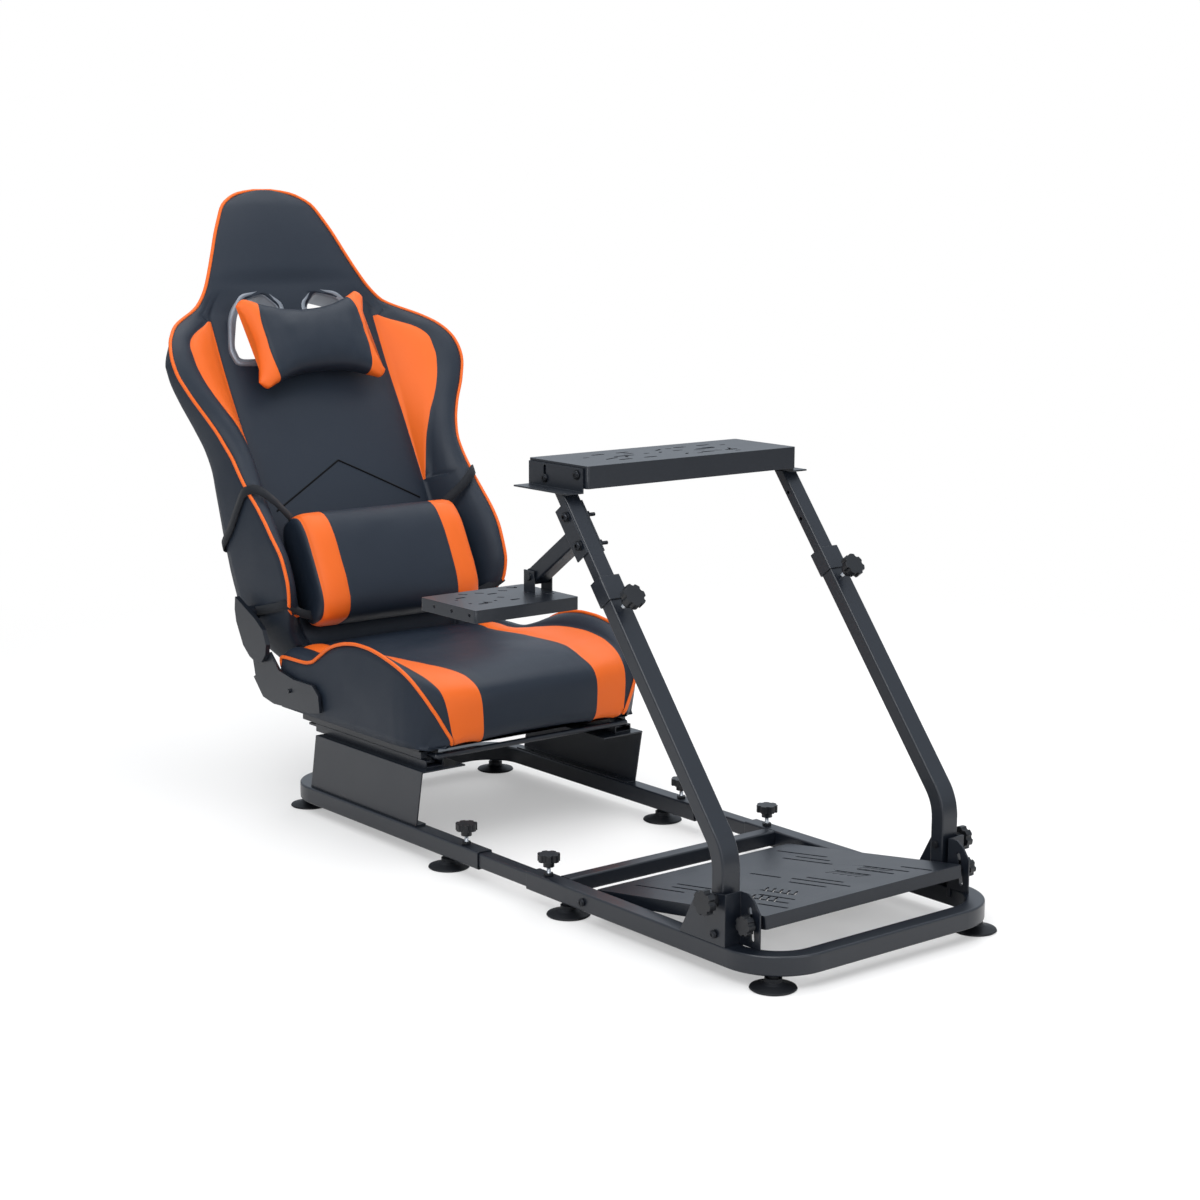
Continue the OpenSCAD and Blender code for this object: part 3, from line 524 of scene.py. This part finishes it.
def build_back_seams(radius):
    """The pointed seam over the lumbar pillow."""
    for side in (-1, 1):
        tag = "left" if side > 0 else "right"
        path = []
        for k in range(25):
            t = k / 24
            x, up = 162 * t, 63 - 90 * t
            half = back_ring(up)
            path.append(on_back(side * x, up, panel_depth(half, x) + 0.1))
        tube("panel_seam_" + tag, path, radius, "thread_dark", "back", sides=6)


def panel_depth(half, x):
    """How far out of the backrest a ring's front lies at one distance across."""
    for (x0, f0, _), (x1, f1, _) in zip(half, half[1:]):
        if x0 <= x <= x1:
            return f0 + (f1 - f0) * (x - x0) / max(1e-6, x1 - x0)
    return half[0][1]


# ---------------------------------------------------------------- cushion

# The cushion's rows from its rear round to its underside: middle (y, z), then piping (x, y, z)
CUSHION_ROWS = [
    ((699, 250), (246, 696, 250)), ((699, 279), (249, 696, 270)), ((693, 292), (250, 692, 279)),
    ((674, 297), (250, 672, 281)), ((646, 297), (250, 645, 281)), ((620, 295), (250, 618, 281.5)),
    ((590, 296), (250, 592, 286)), ((560, 298), (250, 562, 303)), ((530, 300), (250, 532, 321)),
    ((500, 302), (250, 502, 332)), ((470, 303), (250, 470, 339)), ((440, 304), (250, 440, 342)),
    ((410, 305), (250, 410, 341.5)), ((380, 306), (250, 380, 338)), ((350, 306), (250, 350, 332)),
    ((320, 304), (249, 322, 324)), ((296, 300), (247, 300, 315)), ((275, 294), (243, 284, 304)),
    ((259, 287), (238, 272, 291)), ((248, 277), (231, 262, 276)), ((242, 264), (223, 255, 260)),
    ((240, 248), (214, 250, 244)), ((240, 231), (206, 247, 229)), ((241, 214), (198, 245, 215)),
    ((246, 200), (191, 243, 203)), ((256, 190), (187, 248, 193)), ((272, 184), (186, 262, 185)),
]
# The orange bands' inner and outer edges by row number, in millimetres from the middle
BAND_INNER = [
    (0, 172), (5, 165), (8, 158), (10, 154), (12, 151), (13.5, 146), (15, 134), (16.5, 127), (20, 126),
    (26, 121),
]
BAND_OUTER = [
    (0, 212), (5, 210), (8, 216), (10, 222), (12, 223), (14, 219), (15.5, 211), (17, 204), (18, 200),
    (20, 196), (24, 186), (26, 178),
]
band_inner = curve_through(BAND_INNER)
band_outer = curve_through(BAND_OUTER)


def cushion_row(t):
    """Middle and piping points of the cushion at a row number that may lie between two rows."""
    parts = []
    for part in (0, 1):
        size = len(CUSHION_ROWS[0][part])
        parts.append(
            [curve_through([(i, row[part][k]) for i, row in enumerate(CUSHION_ROWS)])(t) for k in range(size)]
        )
    return parts


def cushion_ring(t):
    """Half of one ring round the cushion, from its middle over the roll to the underside."""
    (ym, zm), (xp, yp, zp) = cushion_row(t)
    bi, bo = band_inner(t), min(band_outer(t), xp - 3)

    def top(x):
        u = max(0, (x - 95) / (xp - 95))
        rise = 0.85 * u**6 + 0.15 * u * u
        return ym + (yp - ym) * (x / xp) ** 3, zm + (zp - zm) * rise

    ring = []
    for k in range(9):
        x = (bi - 2.5) * k / 8
        y, z = top(x)
        ring.append((x, y, z + 3 * math.cos(x / bi * math.pi / 2), 0))
    y, z = top(bi)
    ring.append((bi, y, z - 1.6, 1))
    for u in (0.08, 0.3, 0.5, 0.7, 0.92):
        x = bi + (bo - bi) * u
        y, z = top(x)
        ring.append((x, y, z + 2.5 * math.sin(math.pi * u), 1))
    y, z = top(bo)
    ring.append((bo, y, z - 1.2, 0))
    for u in (0.12, 0.35, 0.6, 0.85):
        x = bo + (xp - bo) * u
        y, z = top(x)
        ring.append((x, y, z + 7 * math.sin(math.pi * u) ** 0.8 * min(1, (xp - bo) / 30), 0))
    ring.append((xp, yp, zp - 1.5, 0))
    lead = max(0, t - 14) / 12
    for u in (0.1, 0.3, 0.5, 0.7, 0.9, 1):
        low = 186
        y = yp + 34 * lead * u * (1 if t < 24 else 0.2)
        plan = 250 - max(0, (330 - y)) ** 2 * 0.0078
        x = xp + (max(xp, plan) - xp) * min(1, 2 * u) + 3 * math.sin(math.pi * u) * min(1, (zp - low) / 60)
        ring.append((x, y, zp + (low - zp) * u, 0))
    ring.append((xp - 8, max(yp, 262), 184, 0))
    ring.append((xp * 0.5, max(yp, 270), 184, 0))
    ring.append((0, max(ym, 272), 184, 0))
    return ring


def build_cushion():
    """The foam cushion with its orange bands and side rolls."""
    steps = 4
    rows = [i / steps for i in range(steps * (len(CUSHION_ROWS) - 1) + 1)]
    rings, kinds = [], []
    for t in rows:
        half = cushion_ring(t)
        ring = [at(x, y, z) for x, y, z, m in half]
        other = [at(-x, y, z) for x, y, z, m in reversed(half[1:-1])]
        rings.append(ring + other)
        kinds.append([m for x, y, z, m in half])
    verts, faces = loft(rings)
    n, h = len(rings[0]), len(kinds[0])
    picks = []
    for i in range(len(rows) - 1):
        for j in range(n):
            col = j if j < h - 1 else (n - 1 - j)
            picks.append(1 if kinds[i][col] else 0)
    picks += [0, 0]
    seat = new_piece("cushion_cover", verts, faces, ["leather_dark", "leather_orange"], picks)
    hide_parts("seat_cushion")
    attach(seat, "seat")


def build_cushion_piping(radius):
    """Piping along each side roll down to the front corner."""
    for side in (-1, 1):
        path = []
        for k in range(2, 101):
            _, (xp, yp, zp) = cushion_row(k / 4)
            path.append(at(side * (xp + 0.8), yp - 0.6, zp + 0.3))
        tag = "left" if side > 0 else "right"
        tube("cushion_piping_" + tag, path, radius, "piping_orange", "seat", sides=12)


# ---------------------------------------------------------------- pillows


def build_neck_pillow():
    """The hourglass head pillow: two skins sewn at the rim, pinched at its waist, with orange ends."""
    around, columns, seam_at = 48, 44, 0.68
    tilt = math.radians(2.2)
    rings = []
    full = [k / columns for k in range(-columns, columns + 1)]
    for w in full:
        ring = []
        for k in range(around):
            q = 2 * math.pi * k / around
            c, v = math.cos(q), math.sin(q)
            v = math.copysign(abs(v) ** 0.86, v)
            reach = 128 + 17 * abs(v) ** 1.5
            band = 0.7 + 0.17 * (1 - v * v)
            a = abs(w)
            u = a / seam_at * band if a < seam_at else band + (a - seam_at) / (1 - seam_at) * (1 - band)
            half = 62 + 40 * u**2.2 - 24 * (max(0, u - 0.86) / 0.14) ** 1.6 * v * v
            thick = 35 * (1 - u**4.5) ** 0.55 * (0.86 + 0.14 * (1 - u * u))
            thick = max(thick, 3)
            if abs(a - seam_at) < 0.012:
                thick -= 1.6
            x = math.copysign(u, w) * reach
            s = v * half + 3 * u * u
            n = thick * math.copysign(abs(c) ** 0.72, c)
            fold = 2.2 * noise.noise(Vector((x * 0.05, s * 0.02, 3.1)))
            fold += 1.6 * noise.noise(Vector((x * 0.02, s * 0.07, 7.7)))
            n += fold * (0.4 + 0.6 * u) * (1 if c > 0 else 0.3) * min(1, thick / 12)
            x, s = x * math.cos(tilt) - s * math.sin(tilt), s * math.cos(tilt) + x * math.sin(tilt)
            ring.append(on_back(x, 303 + s, 3.5 + n))
        rings.append(ring)
    verts, faces = loft(rings)
    picks = []
    for i in range(len(full) - 1):
        picks += [1 if abs(full[i] + full[i + 1]) / 2 > seam_at else 0] * around
    picks += [1, 1]
    pillow = new_piece("neck_pillow_cover", verts, faces, ["leather_dark", "leather_orange"], picks)
    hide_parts("neck_pillow")
    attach(pillow, "back")


# The orange bands of the lumbar pillow run between these distances from its middle
LUMBAR_BAND = (121, 173)


def build_lumbar_pillow():
    """The lumbar pillow with an orange band towards each end."""
    xs = [0, 20, 40, 60, 80, 96, 108, 116, 119, 121, 124, 132, 144, 156, 166, 171, 173, 175, 178, 180, 181.5]
    full = [-x for x in reversed(xs[1:])] + xs
    rings = []
    around = 44
    for x in full:
        a = abs(x)
        end = math.sqrt(max(0.0, 1 - max(0, (a - 150) / 32) ** 2.4))
        half = 88 + 18 * end
        t = 20 + 34 * end
        if a in LUMBAR_BAND:
            t -= 1.6
            half -= 1.6
        ring = []
        for k in range(around):
            q = 2 * math.pi * k / around
            c, s = math.cos(q), math.sin(q)
            fold = 1.8 * noise.noise(Vector((x * 0.03, k * 0.4, 1.7)))
            up = -164 + half * math.copysign(abs(s) ** 0.6, s)
            ring.append(on_back(x, up, 31 + (t + fold) * math.copysign(abs(c) ** 0.66, c)))
        rings.append(ring)
    verts, faces = loft(rings)
    picks = []
    for i in range(len(full) - 1):
        a = abs(full[i] + full[i + 1]) / 2
        picks += [1 if LUMBAR_BAND[0] < a < LUMBAR_BAND[1] else 0] * around
    picks += [0, 0]
    pillow = new_piece("lumbar_pillow_cover", verts, faces, ["leather_dark", "leather_orange"], picks)
    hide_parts("lumbar_pillow")
    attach(pillow, "back")


# ---------------------------------------------------------------- hardware


def turned(start, axis, profile, sides, socket):
    """Points and faces of a turned or hexagonal part: its profile is (radius, height) from its foot up."""
    axis = axis.normalized()
    side = axis.cross(Vector((0.31, 0.17, 0.9))).normalized()
    other = axis.cross(side)
    rings = []
    for i, (r, h) in enumerate(profile):
        ring = []
        for k in range(sides):
            q = 2 * math.pi * k / sides
            reach = r
            if socket and i >= len(profile) - 2:
                reach = r / math.cos((q + math.pi / 6) % (math.pi / 3) - math.pi / 6)
            ring.append(start + (side * math.cos(q) * reach + other * math.sin(q) * reach + axis * h) * MM)
        rings.append(ring)
    return loft(rings)


# Profiles of the turned parts, each (radius, height) in millimetres from the foot up
BUTTON_HEAD = ((6.4, 0), (6.6, 0.4), (6.3, 1.4), (5.3, 2.6), (4.2, 3.2), (3.4, 3.35), (2.5, 3.1), (2.5, 1.2))
WASHER = ((8, 0), (8, 1.1), (4.2, 1.1))
NUT = ((6.2, 0), (6.6, 0.4), (6.6, 4.4), (6.2, 4.8), (3.2, 4.8))
STUD = tuple((3 if k % 2 else 2.6, 0.6 * k) for k in range(24)) + ((2.2, 14.6),)
BARE_STUD = tuple((3.35 if k % 2 else 3.05, 0.55 * k) for k in range(20))
PROFILES = {"button": BUTTON_HEAD, "washer": WASHER, "nut": NUT, "stud": STUD, "bare": BARE_STUD}


def fit_hardware(name, body, mat, items):
    """One piece of bolts, nuts, washers and studs: each item is (kind, place, axis, lift)."""
    verts, faces = [], []
    for kind, place, axis, lift in items:
        profile = [(r, h + lift) for r, h in PROFILES[kind]]
        v, f = turned(place, axis, profile, 6 if kind == "nut" else 24, kind == "button")
        faces += [tuple(i + len(verts) for i in face) for face in f]
        verts += v
    obj = new_piece(name, verts, faces, [mat])
    obj.data.set_sharp_from_angle(angle=math.radians(35))
    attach(obj, body)


# The steering posts: half their spacing, the (y, z) of their bends, and their lean
POST_X = 229
POST_BEND = (-497, 185)
POST_LEAN = math.radians(38)


def on_post(side, ahead, along):
    """A point in a steering post's middle plane: towards its rear, and along it from its bend."""
    y = POST_BEND[0] + ahead * math.cos(POST_LEAN) + along * math.sin(POST_LEAN)
    z = POST_BEND[1] - ahead * math.sin(POST_LEAN) + along * math.cos(POST_LEAN)
    return at(side * POST_X, y, z)


def build_hardware():
    """Button-head bolts, nuts and threaded ends where the photograph shows them."""
    east = Vector((1, 0, 0))
    front = Vector((0, -math.cos(POST_LEAN), math.sin(POST_LEAN)))
    base, column, tray, upper = [], [], [], []
    for side in (-1, 1):
        out = east * side
        column.append(("button", at(side * 254.4, -497, 67), out, -2.2))
        base.append(("button", at(side * 254.2, -190, 37), out, -2.2))
        tray.append(("button", at(side * 223.6, -136, 695), out, -2.2))
        tray.append(("button", at(side * 223.6, -57, 682.5), out, -2.2))
        tray.append(("washer", at(side * 220.2, -136, 695), out, 0))
    for along in (520, 571):
        place = on_post(-1, 2, along)
        head = Vector((HOME.x - 0.2488, place.y, place.z))
        tail = Vector((HOME.x - 0.2092, place.y, place.z))
        upper += [("washer", head, -east, 0), ("button", head, -east, 1.1)]
        upper += [("nut", tail, east, 0), ("stud", tail, east, 3)]
    fit_hardware("base_bolt_heads", "front_base", "bolt_steel", base)
    fit_hardware("column_pivot_heads", "column", "bolt_steel", column)
    fit_hardware("tray_bolt_heads", "tray", "bolt_steel", tray)
    fit_hardware("clamp_bolts", "upper_column", "bolt_steel", upper)
    for name, body, y in (("rear", "rear_base", 139), ("front", "front_base", -85)):
        studs = [("bare", at(side * 235, y, 56), Vector((0, 0, 1)), 0) for side in (-1, 1)]
        fit_hardware(name + "_knob_studs", body, "bright_steel", studs)
    studs = [("bare", on_post(side, -12.6, 403), front, 0) for side in (-1, 1)]
    fit_hardware("height_knob_studs", "column", "bright_steel", studs)


def slot_prism(middle, along, length, width, down, depth):
    """A cutter for one slot with round ends."""
    across = along.cross(down)
    pts = []
    for end in (1, -1):
        for k in range(9):
            q = math.pi * (k / 8 - 0.5)
            ahead = (length - width) / 2 + math.cos(q) * width / 2
            aside = math.sin(q) * width / 2
            pts.append(middle + (along * ahead + across * aside) * end * MM)
    return loft([[p - down * 0.003 for p in pts], [p + down * depth * MM for p in pts]])


def drill(node, name, cuts, body):
    """A copy of a sheet-metal node with its small slots and holes cut through."""
    obj = bpy.data.objects.new(name, FRAME["nodes"][node].data.copy())
    bpy.context.scene.collection.objects.link(obj)
    verts, faces = [], []
    for v, f in cuts:
        faces += [tuple(i + len(verts) for i in face) for face in f]
        verts += v
    cutter = new_piece("cutter", verts, faces, ["frame_black"])
    mod = obj.modifiers.new("slots", "BOOLEAN")
    mod.operation = "DIFFERENCE"
    mod.solver = "EXACT"
    mod.use_self = True
    mod.object = cutter
    apply_modifiers(obj)
    bpy.data.objects.remove(cutter)
    obj.name = name
    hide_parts(node)
    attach(obj, body)


# Slots of the shifter plate and of the wheel tray: x, y, length, turn in degrees
SHIFTER_SLOTS = (
    (-342, -6, 15, -40), (-315, -12, 15, -40), (-273, -16, 15, -40), (-247, -3, 15, -40),
    (-240, -5, 11, 50), (-356, -86, 12, 50), (-350, -82, 15, -40), (-332, -78, 6, 0), (-309, -60, 12, -40),
    (-258, -85, 15, -40), (-230, -81, 15, -40), (-250, -50, 6, 0), (-378, -40, 6, 0), (-378, -76, 6, 0),
)
TRAY_SLOTS = (
    (-122, -100, 34, 20), (-89, -96, 14, 60), (-62, -67, 20, 0), (-36, -81, 12, 0), (8, -57, 22, 30),
    (33, -53, 12, 0), (30, -80, 20, 0), (15, -120, 14, 40), (38, -126, 12, 0), (97, -78, 26, 0),
    (85, -116, 14, -30), (115, -110, 22, 60), (111, -135, 12, 0), (-8, -82, 12, 40), (62, -96, 18, -40),
    (-150, -70, 12, 0), (140, -64, 12, 0),
)
PEDAL_TILT = math.radians(8.2)


def level_slots(rows, height, width):
    """Cutters for the slots of a level plate."""
    cuts = []
    for x, y, length, turn in rows:
        a = math.radians(turn)
        along = Vector((math.cos(a), math.sin(a), 0))
        cuts.append(slot_prism(at(x, y, height), along, length, width, Vector((0, 0, -1)), 5))
    return cuts


def build_plates():
    """The slots and holes of the three sheet-metal plates."""
    cuts = level_slots(SHIFTER_SLOTS, 505, 5.5)
    for y in (-22, -68, -114):
        cuts.append(slot_prism(at(-407, y, 496), Vector((0, 1, 0)), 6.01, 6, Vector((1, 0, 0)), 5))
    drill("shifter_plate", "shifter_plate_cut", cuts, "shifter")
    drill("wheel_tray", "wheel_tray_cut", level_slots(TRAY_SLOTS, 710, 5), "tray")
    back = Vector((0, math.cos(PEDAL_TILT), -math.sin(PEDAL_TILT)))
    low = Vector((0, -math.sin(PEDAL_TILT), -math.cos(PEDAL_TILT)))
    turn = math.radians(35)
    cuts = []
    for side in (-1, 1):
        along = Vector((side * math.cos(turn), 0, 0)) - back * math.sin(turn)
        for spine, ys in ((80, (-224, -240, -256, -272, -288)), (127, (-246, -262, -278, -294))):
            for y in ys:
                place = Vector((side * (spine - 9), 0, 0)) + back * (y - 4) - low * 10
                cuts.append(slot_prism(at(0, -190, 37) + place * MM, along, 27, 4, low, 5))
    drill("pedal_plate", "pedal_plate_cut", cuts, "pedals")


# ---------------------------------------------------------------- stage


def light_world(scene):
    """A world that is white to the camera, and darker low down in what shiny pieces mirror."""
    world = bpy.data.worlds.new("studio")
    scene.world = world
    world.use_nodes = True
    nodes, links = world.node_tree.nodes, world.node_tree.links
    nodes.clear()
    out = nodes.new("ShaderNodeOutputWorld")
    mix = nodes.new("ShaderNodeMixShader")
    seen = nodes.new("ShaderNodeLightPath")
    light = nodes.new("ShaderNodeBackground")
    light.inputs["Color"].default_value = (0.95, 0.97, 1, 1)
    light.inputs["Strength"].default_value = 0.5
    white = nodes.new("ShaderNodeBackground")
    white.inputs["Color"].default_value = (1, 1, 1, 1)
    white.inputs["Strength"].default_value = 1.0
    sheen_light = nodes.new("ShaderNodeBackground")
    sheen_light.inputs["Color"].default_value = (0.82, 0.9, 1, 1)
    place = nodes.new("ShaderNodeTexCoord")
    height = nodes.new("ShaderNodeSeparateXYZ")
    links.new(place.outputs["Generated"], height.inputs[0])
    rise = nodes.new("ShaderNodeMapRange")
    rise.inputs["From Min"].default_value = 0.0
    rise.inputs["From Max"].default_value = 0.2
    rise.inputs["To Min"].default_value = 0.12
    rise.inputs["To Max"].default_value = 0.95
    links.new(height.outputs["Z"], rise.inputs["Value"])
    links.new(rise.outputs["Result"], sheen_light.inputs["Strength"])
    glossy = nodes.new("ShaderNodeMixShader")
    links.new(seen.outputs["Is Glossy Ray"], glossy.inputs["Fac"])
    links.new(light.outputs[0], glossy.inputs[1])
    links.new(sheen_light.outputs[0], glossy.inputs[2])
    links.new(seen.outputs["Is Camera Ray"], mix.inputs["Fac"])
    links.new(glossy.outputs[0], mix.inputs[1])
    links.new(white.outputs[0], mix.inputs[2])
    links.new(mix.outputs[0], out.inputs["Surface"])


def lay_floor(scene, floor_shade):
    """A pale floor that fades to white away from the cockpit."""
    floor_mat = bpy.data.materials.new("studio_floor")
    floor_mat.use_nodes = True
    nodes, links = floor_mat.node_tree.nodes, floor_mat.node_tree.links
    nodes.clear()
    out = nodes.new("ShaderNodeOutputMaterial")
    mix = nodes.new("ShaderNodeMixShader")
    seen = nodes.new("ShaderNodeLightPath")
    matt = nodes.new("ShaderNodeBsdfDiffuse")
    matt.inputs["Color"].default_value = (floor_shade, floor_shade, floor_shade, 1)
    glow = nodes.new("ShaderNodeEmission")
    glow.inputs["Color"].default_value = (1, 1, 1, 1)
    place = nodes.new("ShaderNodeTexCoord")
    reach = nodes.new("ShaderNodeVectorMath")
    reach.operation = "LENGTH"
    links.new(place.outputs["Object"], reach.inputs[0])
    fade = nodes.new("ShaderNodeMapRange")
    fade.interpolation_type = "SMOOTHSTEP"
    fade.inputs["From Min"].default_value = 1.0
    fade.inputs["From Max"].default_value = 2.6
    fade.inputs["To Min"].default_value = 0.35
    fade.inputs["To Max"].default_value = 1.0
    links.new(reach.outputs["Value"], fade.inputs["Value"])
    part = nodes.new("ShaderNodeMath")
    part.operation = "MULTIPLY"
    links.new(seen.outputs["Is Camera Ray"], part.inputs[0])
    links.new(fade.outputs["Result"], part.inputs[1])
    links.new(part.outputs[0], mix.inputs["Fac"])
    links.new(matt.outputs[0], mix.inputs[1])
    links.new(glow.outputs[0], mix.inputs[2])
    links.new(mix.outputs[0], out.inputs["Surface"])
    mesh = bpy.data.meshes.new("floor")
    r = 14
    mesh.from_pydata([(-r, -r, 0), (r, -r, 0), (r, r, 0), (-r, r, 0)], [], [(0, 1, 2, 3)])
    mesh.materials.append(floor_mat)
    floor = bpy.data.objects.new("floor", mesh)
    scene.collection.objects.link(floor)


def hang_lamps(scene):
    """Four soft lamps, of which the one behind isn't mirrored in the flat tops."""
    middle = Vector((0, -0.05, 0.45))
    for name, place, size, power in (
        ("key_lamp", (-2.4, -1.6, 3.0), 2.4, 95),
        ("top_lamp", (0.6, 0.4, 3.4), 3.0, 70),
        ("rim_lamp", (2.8, 1.6, 2.0), 2.0, 45),
        ("front_lamp", (0.2, -3.8, 1.6), 2.4, 38),
    ):
        lamp = bpy.data.lights.new(name, "AREA")
        lamp.size = size
        lamp.energy = power
        obj = bpy.data.objects.new(name, lamp)
        obj.location = place
        obj.rotation_euler = (middle - Vector(place)).to_track_quat("-Z", "Y").to_euler()
        obj.visible_glossy = name != "rim_lamp"
        scene.collection.objects.link(obj)


def place_camera(scene):
    """The photograph's camera."""
    cam = bpy.data.cameras.new("camera")
    cam.sensor_width = 36
    cam.lens = 69.695
    obj = bpy.data.objects.new("camera", cam)
    yaw, pitch, roll = math.radians(51.184), math.radians(-10.384), math.radians(0.218)
    ahead = Vector((math.cos(pitch) * math.cos(yaw), math.cos(pitch) * math.sin(yaw), math.sin(pitch)))
    right = ahead.cross(Vector((0, 0, 1))).normalized()
    over = right.cross(ahead)
    level = right * math.cos(roll) + over * math.sin(roll)
    over = over * math.cos(roll) - right * math.sin(roll)
    turn = Matrix((level, over, -ahead)).transposed().to_4x4()
    obj.matrix_world = Matrix.Translation(HOME + Vector((-2.39481, -2.8966, 1.14575))) @ turn
    scene.collection.objects.link(obj)
    scene.camera = obj


def build_stage(floor_shade):
    """A pale floor, soft lamps and the camera."""
    scene = bpy.context.scene
    scene.view_settings.view_transform = "Standard"
    light_world(scene)
    lay_floor(scene, floor_shade)
    hang_lamps(scene)
    place_camera(scene)


# ---------------------------------------------------------------- add-on


class CockpitLooks(bpy.types.PropertyGroup):
    """Colours and small sizes that a user may change."""

    coat_colour: bpy.props.FloatVectorProperty(
        name="Frame colour", description="Colour of the powder coat", subtype="COLOR", size=3,
        default=tuple(rgb("11161e")[:3]), min=0, max=1,
    )
    leather_colour: bpy.props.FloatVectorProperty(
        name="Leather colour", description="Colour of the dark leather", subtype="COLOR", size=3,
        default=tuple(rgb("19212c")[:3]), min=0, max=1,
    )
    accent_colour: bpy.props.FloatVectorProperty(
        name="Accent colour", description="Colour of the bands, inserts and piping", subtype="COLOR", size=3,
        default=tuple(rgb("d8601c")[:3]), min=0, max=1,
    )
    piping_radius: bpy.props.FloatProperty(
        name="Piping radius", description="Half the thickness of the piping",
        subtype="DISTANCE", unit="LENGTH",
        default=0.0032, min=0.001, max=0.006,
    )
    floor_shade: bpy.props.FloatProperty(
        name="Floor shade", description="How pale the studio floor is", subtype="FACTOR",
        default=0.86, min=0, max=1,
    )


def looks():
    """The scene's settings."""
    return bpy.context.scene.cockpit_looks


class COCKPIT_OT_coat(bpy.types.Operator):
    """Gives the metal, plastic and rubber parts their finishes"""

    bl_idname = "cockpit.coat"
    bl_label = "Coat the frame"

    def execute(self, context):
        make_finishes(looks())
        for name, node in FRAME["nodes"].items():
            slot = NODE_SLOTS.get(name)
            if slot is None:
                raise RuntimeError("no finish for node " + name)
            node.data.materials.clear()
            node.data.materials.append(FINISHES[slot])
        return {"FINISHED"}


class COCKPIT_OT_backrest(bpy.types.Operator):
    """Builds the backrest's cover and piping"""

    bl_idname = "cockpit.backrest"
    bl_label = "Backrest"

    def execute(self, context):
        build_backrest()
        build_back_piping(looks().piping_radius)
        build_back_seams(SEAM_RADIUS)
        return {"FINISHED"}


class COCKPIT_OT_bezels(bpy.types.Operator):
    """Builds the grey rims of the harness holes"""

    bl_idname = "cockpit.bezels"
    bl_label = "Harness bezels"

    def execute(self, context):
        build_bezels()
        return {"FINISHED"}


class COCKPIT_OT_straps(bpy.types.Operator):
    """Builds the elastic straps of the lumbar pillow"""

    bl_idname = "cockpit.straps"
    bl_label = "Pillow straps"

    def execute(self, context):
        build_straps()
        return {"FINISHED"}


class COCKPIT_OT_cushion(bpy.types.Operator):
    """Builds the seat cushion and its piping"""

    bl_idname = "cockpit.cushion"
    bl_label = "Cushion"

    def execute(self, context):
        build_cushion()
        build_cushion_piping(looks().piping_radius)
        return {"FINISHED"}


class COCKPIT_OT_pillows(bpy.types.Operator):
    """Builds the neck and lumbar pillows"""

    bl_idname = "cockpit.pillows"
    bl_label = "Pillows"

    def execute(self, context):
        build_neck_pillow()
        build_lumbar_pillow()
        return {"FINISHED"}


class COCKPIT_OT_hardware(bpy.types.Operator):
    """Fits bolts, nuts and studs"""

    bl_idname = "cockpit.hardware"
    bl_label = "Bolts and studs"

    def execute(self, context):
        build_hardware()
        return {"FINISHED"}


class COCKPIT_OT_plates(bpy.types.Operator):
    """Cuts the small slots and holes of the plates"""

    bl_idname = "cockpit.plates"
    bl_label = "Plate slots"

    def execute(self, context):
        build_plates()
        return {"FINISHED"}


class COCKPIT_OT_stage(bpy.types.Operator):
    """Sets up the floor, lamps and camera"""

    bl_idname = "cockpit.stage"
    bl_label = "Stage"

    def execute(self, context):
        build_stage(looks().floor_shade)
        return {"FINISHED"}


class COCKPIT_PT_panel(bpy.types.Panel):
    """Lists the cockpit's pieces in the sidebar"""

    bl_idname = "COCKPIT_PT_panel"
    bl_label = "Sim racing cockpit"
    bl_space_type = "VIEW_3D"
    bl_region_type = "UI"
    bl_category = "Cockpit"

    def draw(self, context):
        settings = context.scene.cockpit_looks
        for name in ("coat_colour", "leather_colour", "accent_colour", "piping_radius", "floor_shade"):
            self.layout.prop(settings, name)
        for step in STEPS:
            self.layout.operator(step.bl_idname)


STEPS = (
    COCKPIT_OT_coat, COCKPIT_OT_backrest, COCKPIT_OT_bezels, COCKPIT_OT_straps, COCKPIT_OT_cushion,
    COCKPIT_OT_pillows, COCKPIT_OT_hardware, COCKPIT_OT_plates, COCKPIT_OT_stage,
)


def register():
    """Adds the settings, the operators and the panel."""
    for cls in (CockpitLooks, *STEPS, COCKPIT_PT_panel):
        bpy.utils.register_class(cls)
    bpy.types.Scene.cockpit_looks = bpy.props.PointerProperty(type=CockpitLooks)


def unregister():
    """Takes them out again."""
    del bpy.types.Scene.cockpit_looks
    for cls in reversed((CockpitLooks, *STEPS, COCKPIT_PT_panel)):
        bpy.utils.unregister_class(cls)


def main():
    """Builds every piece in order."""
    register()
    for step in STEPS:
        group, name = step.bl_idname.split(".")
        getattr(getattr(bpy.ops, group), name)()


if __name__ == "__main__":
    main()
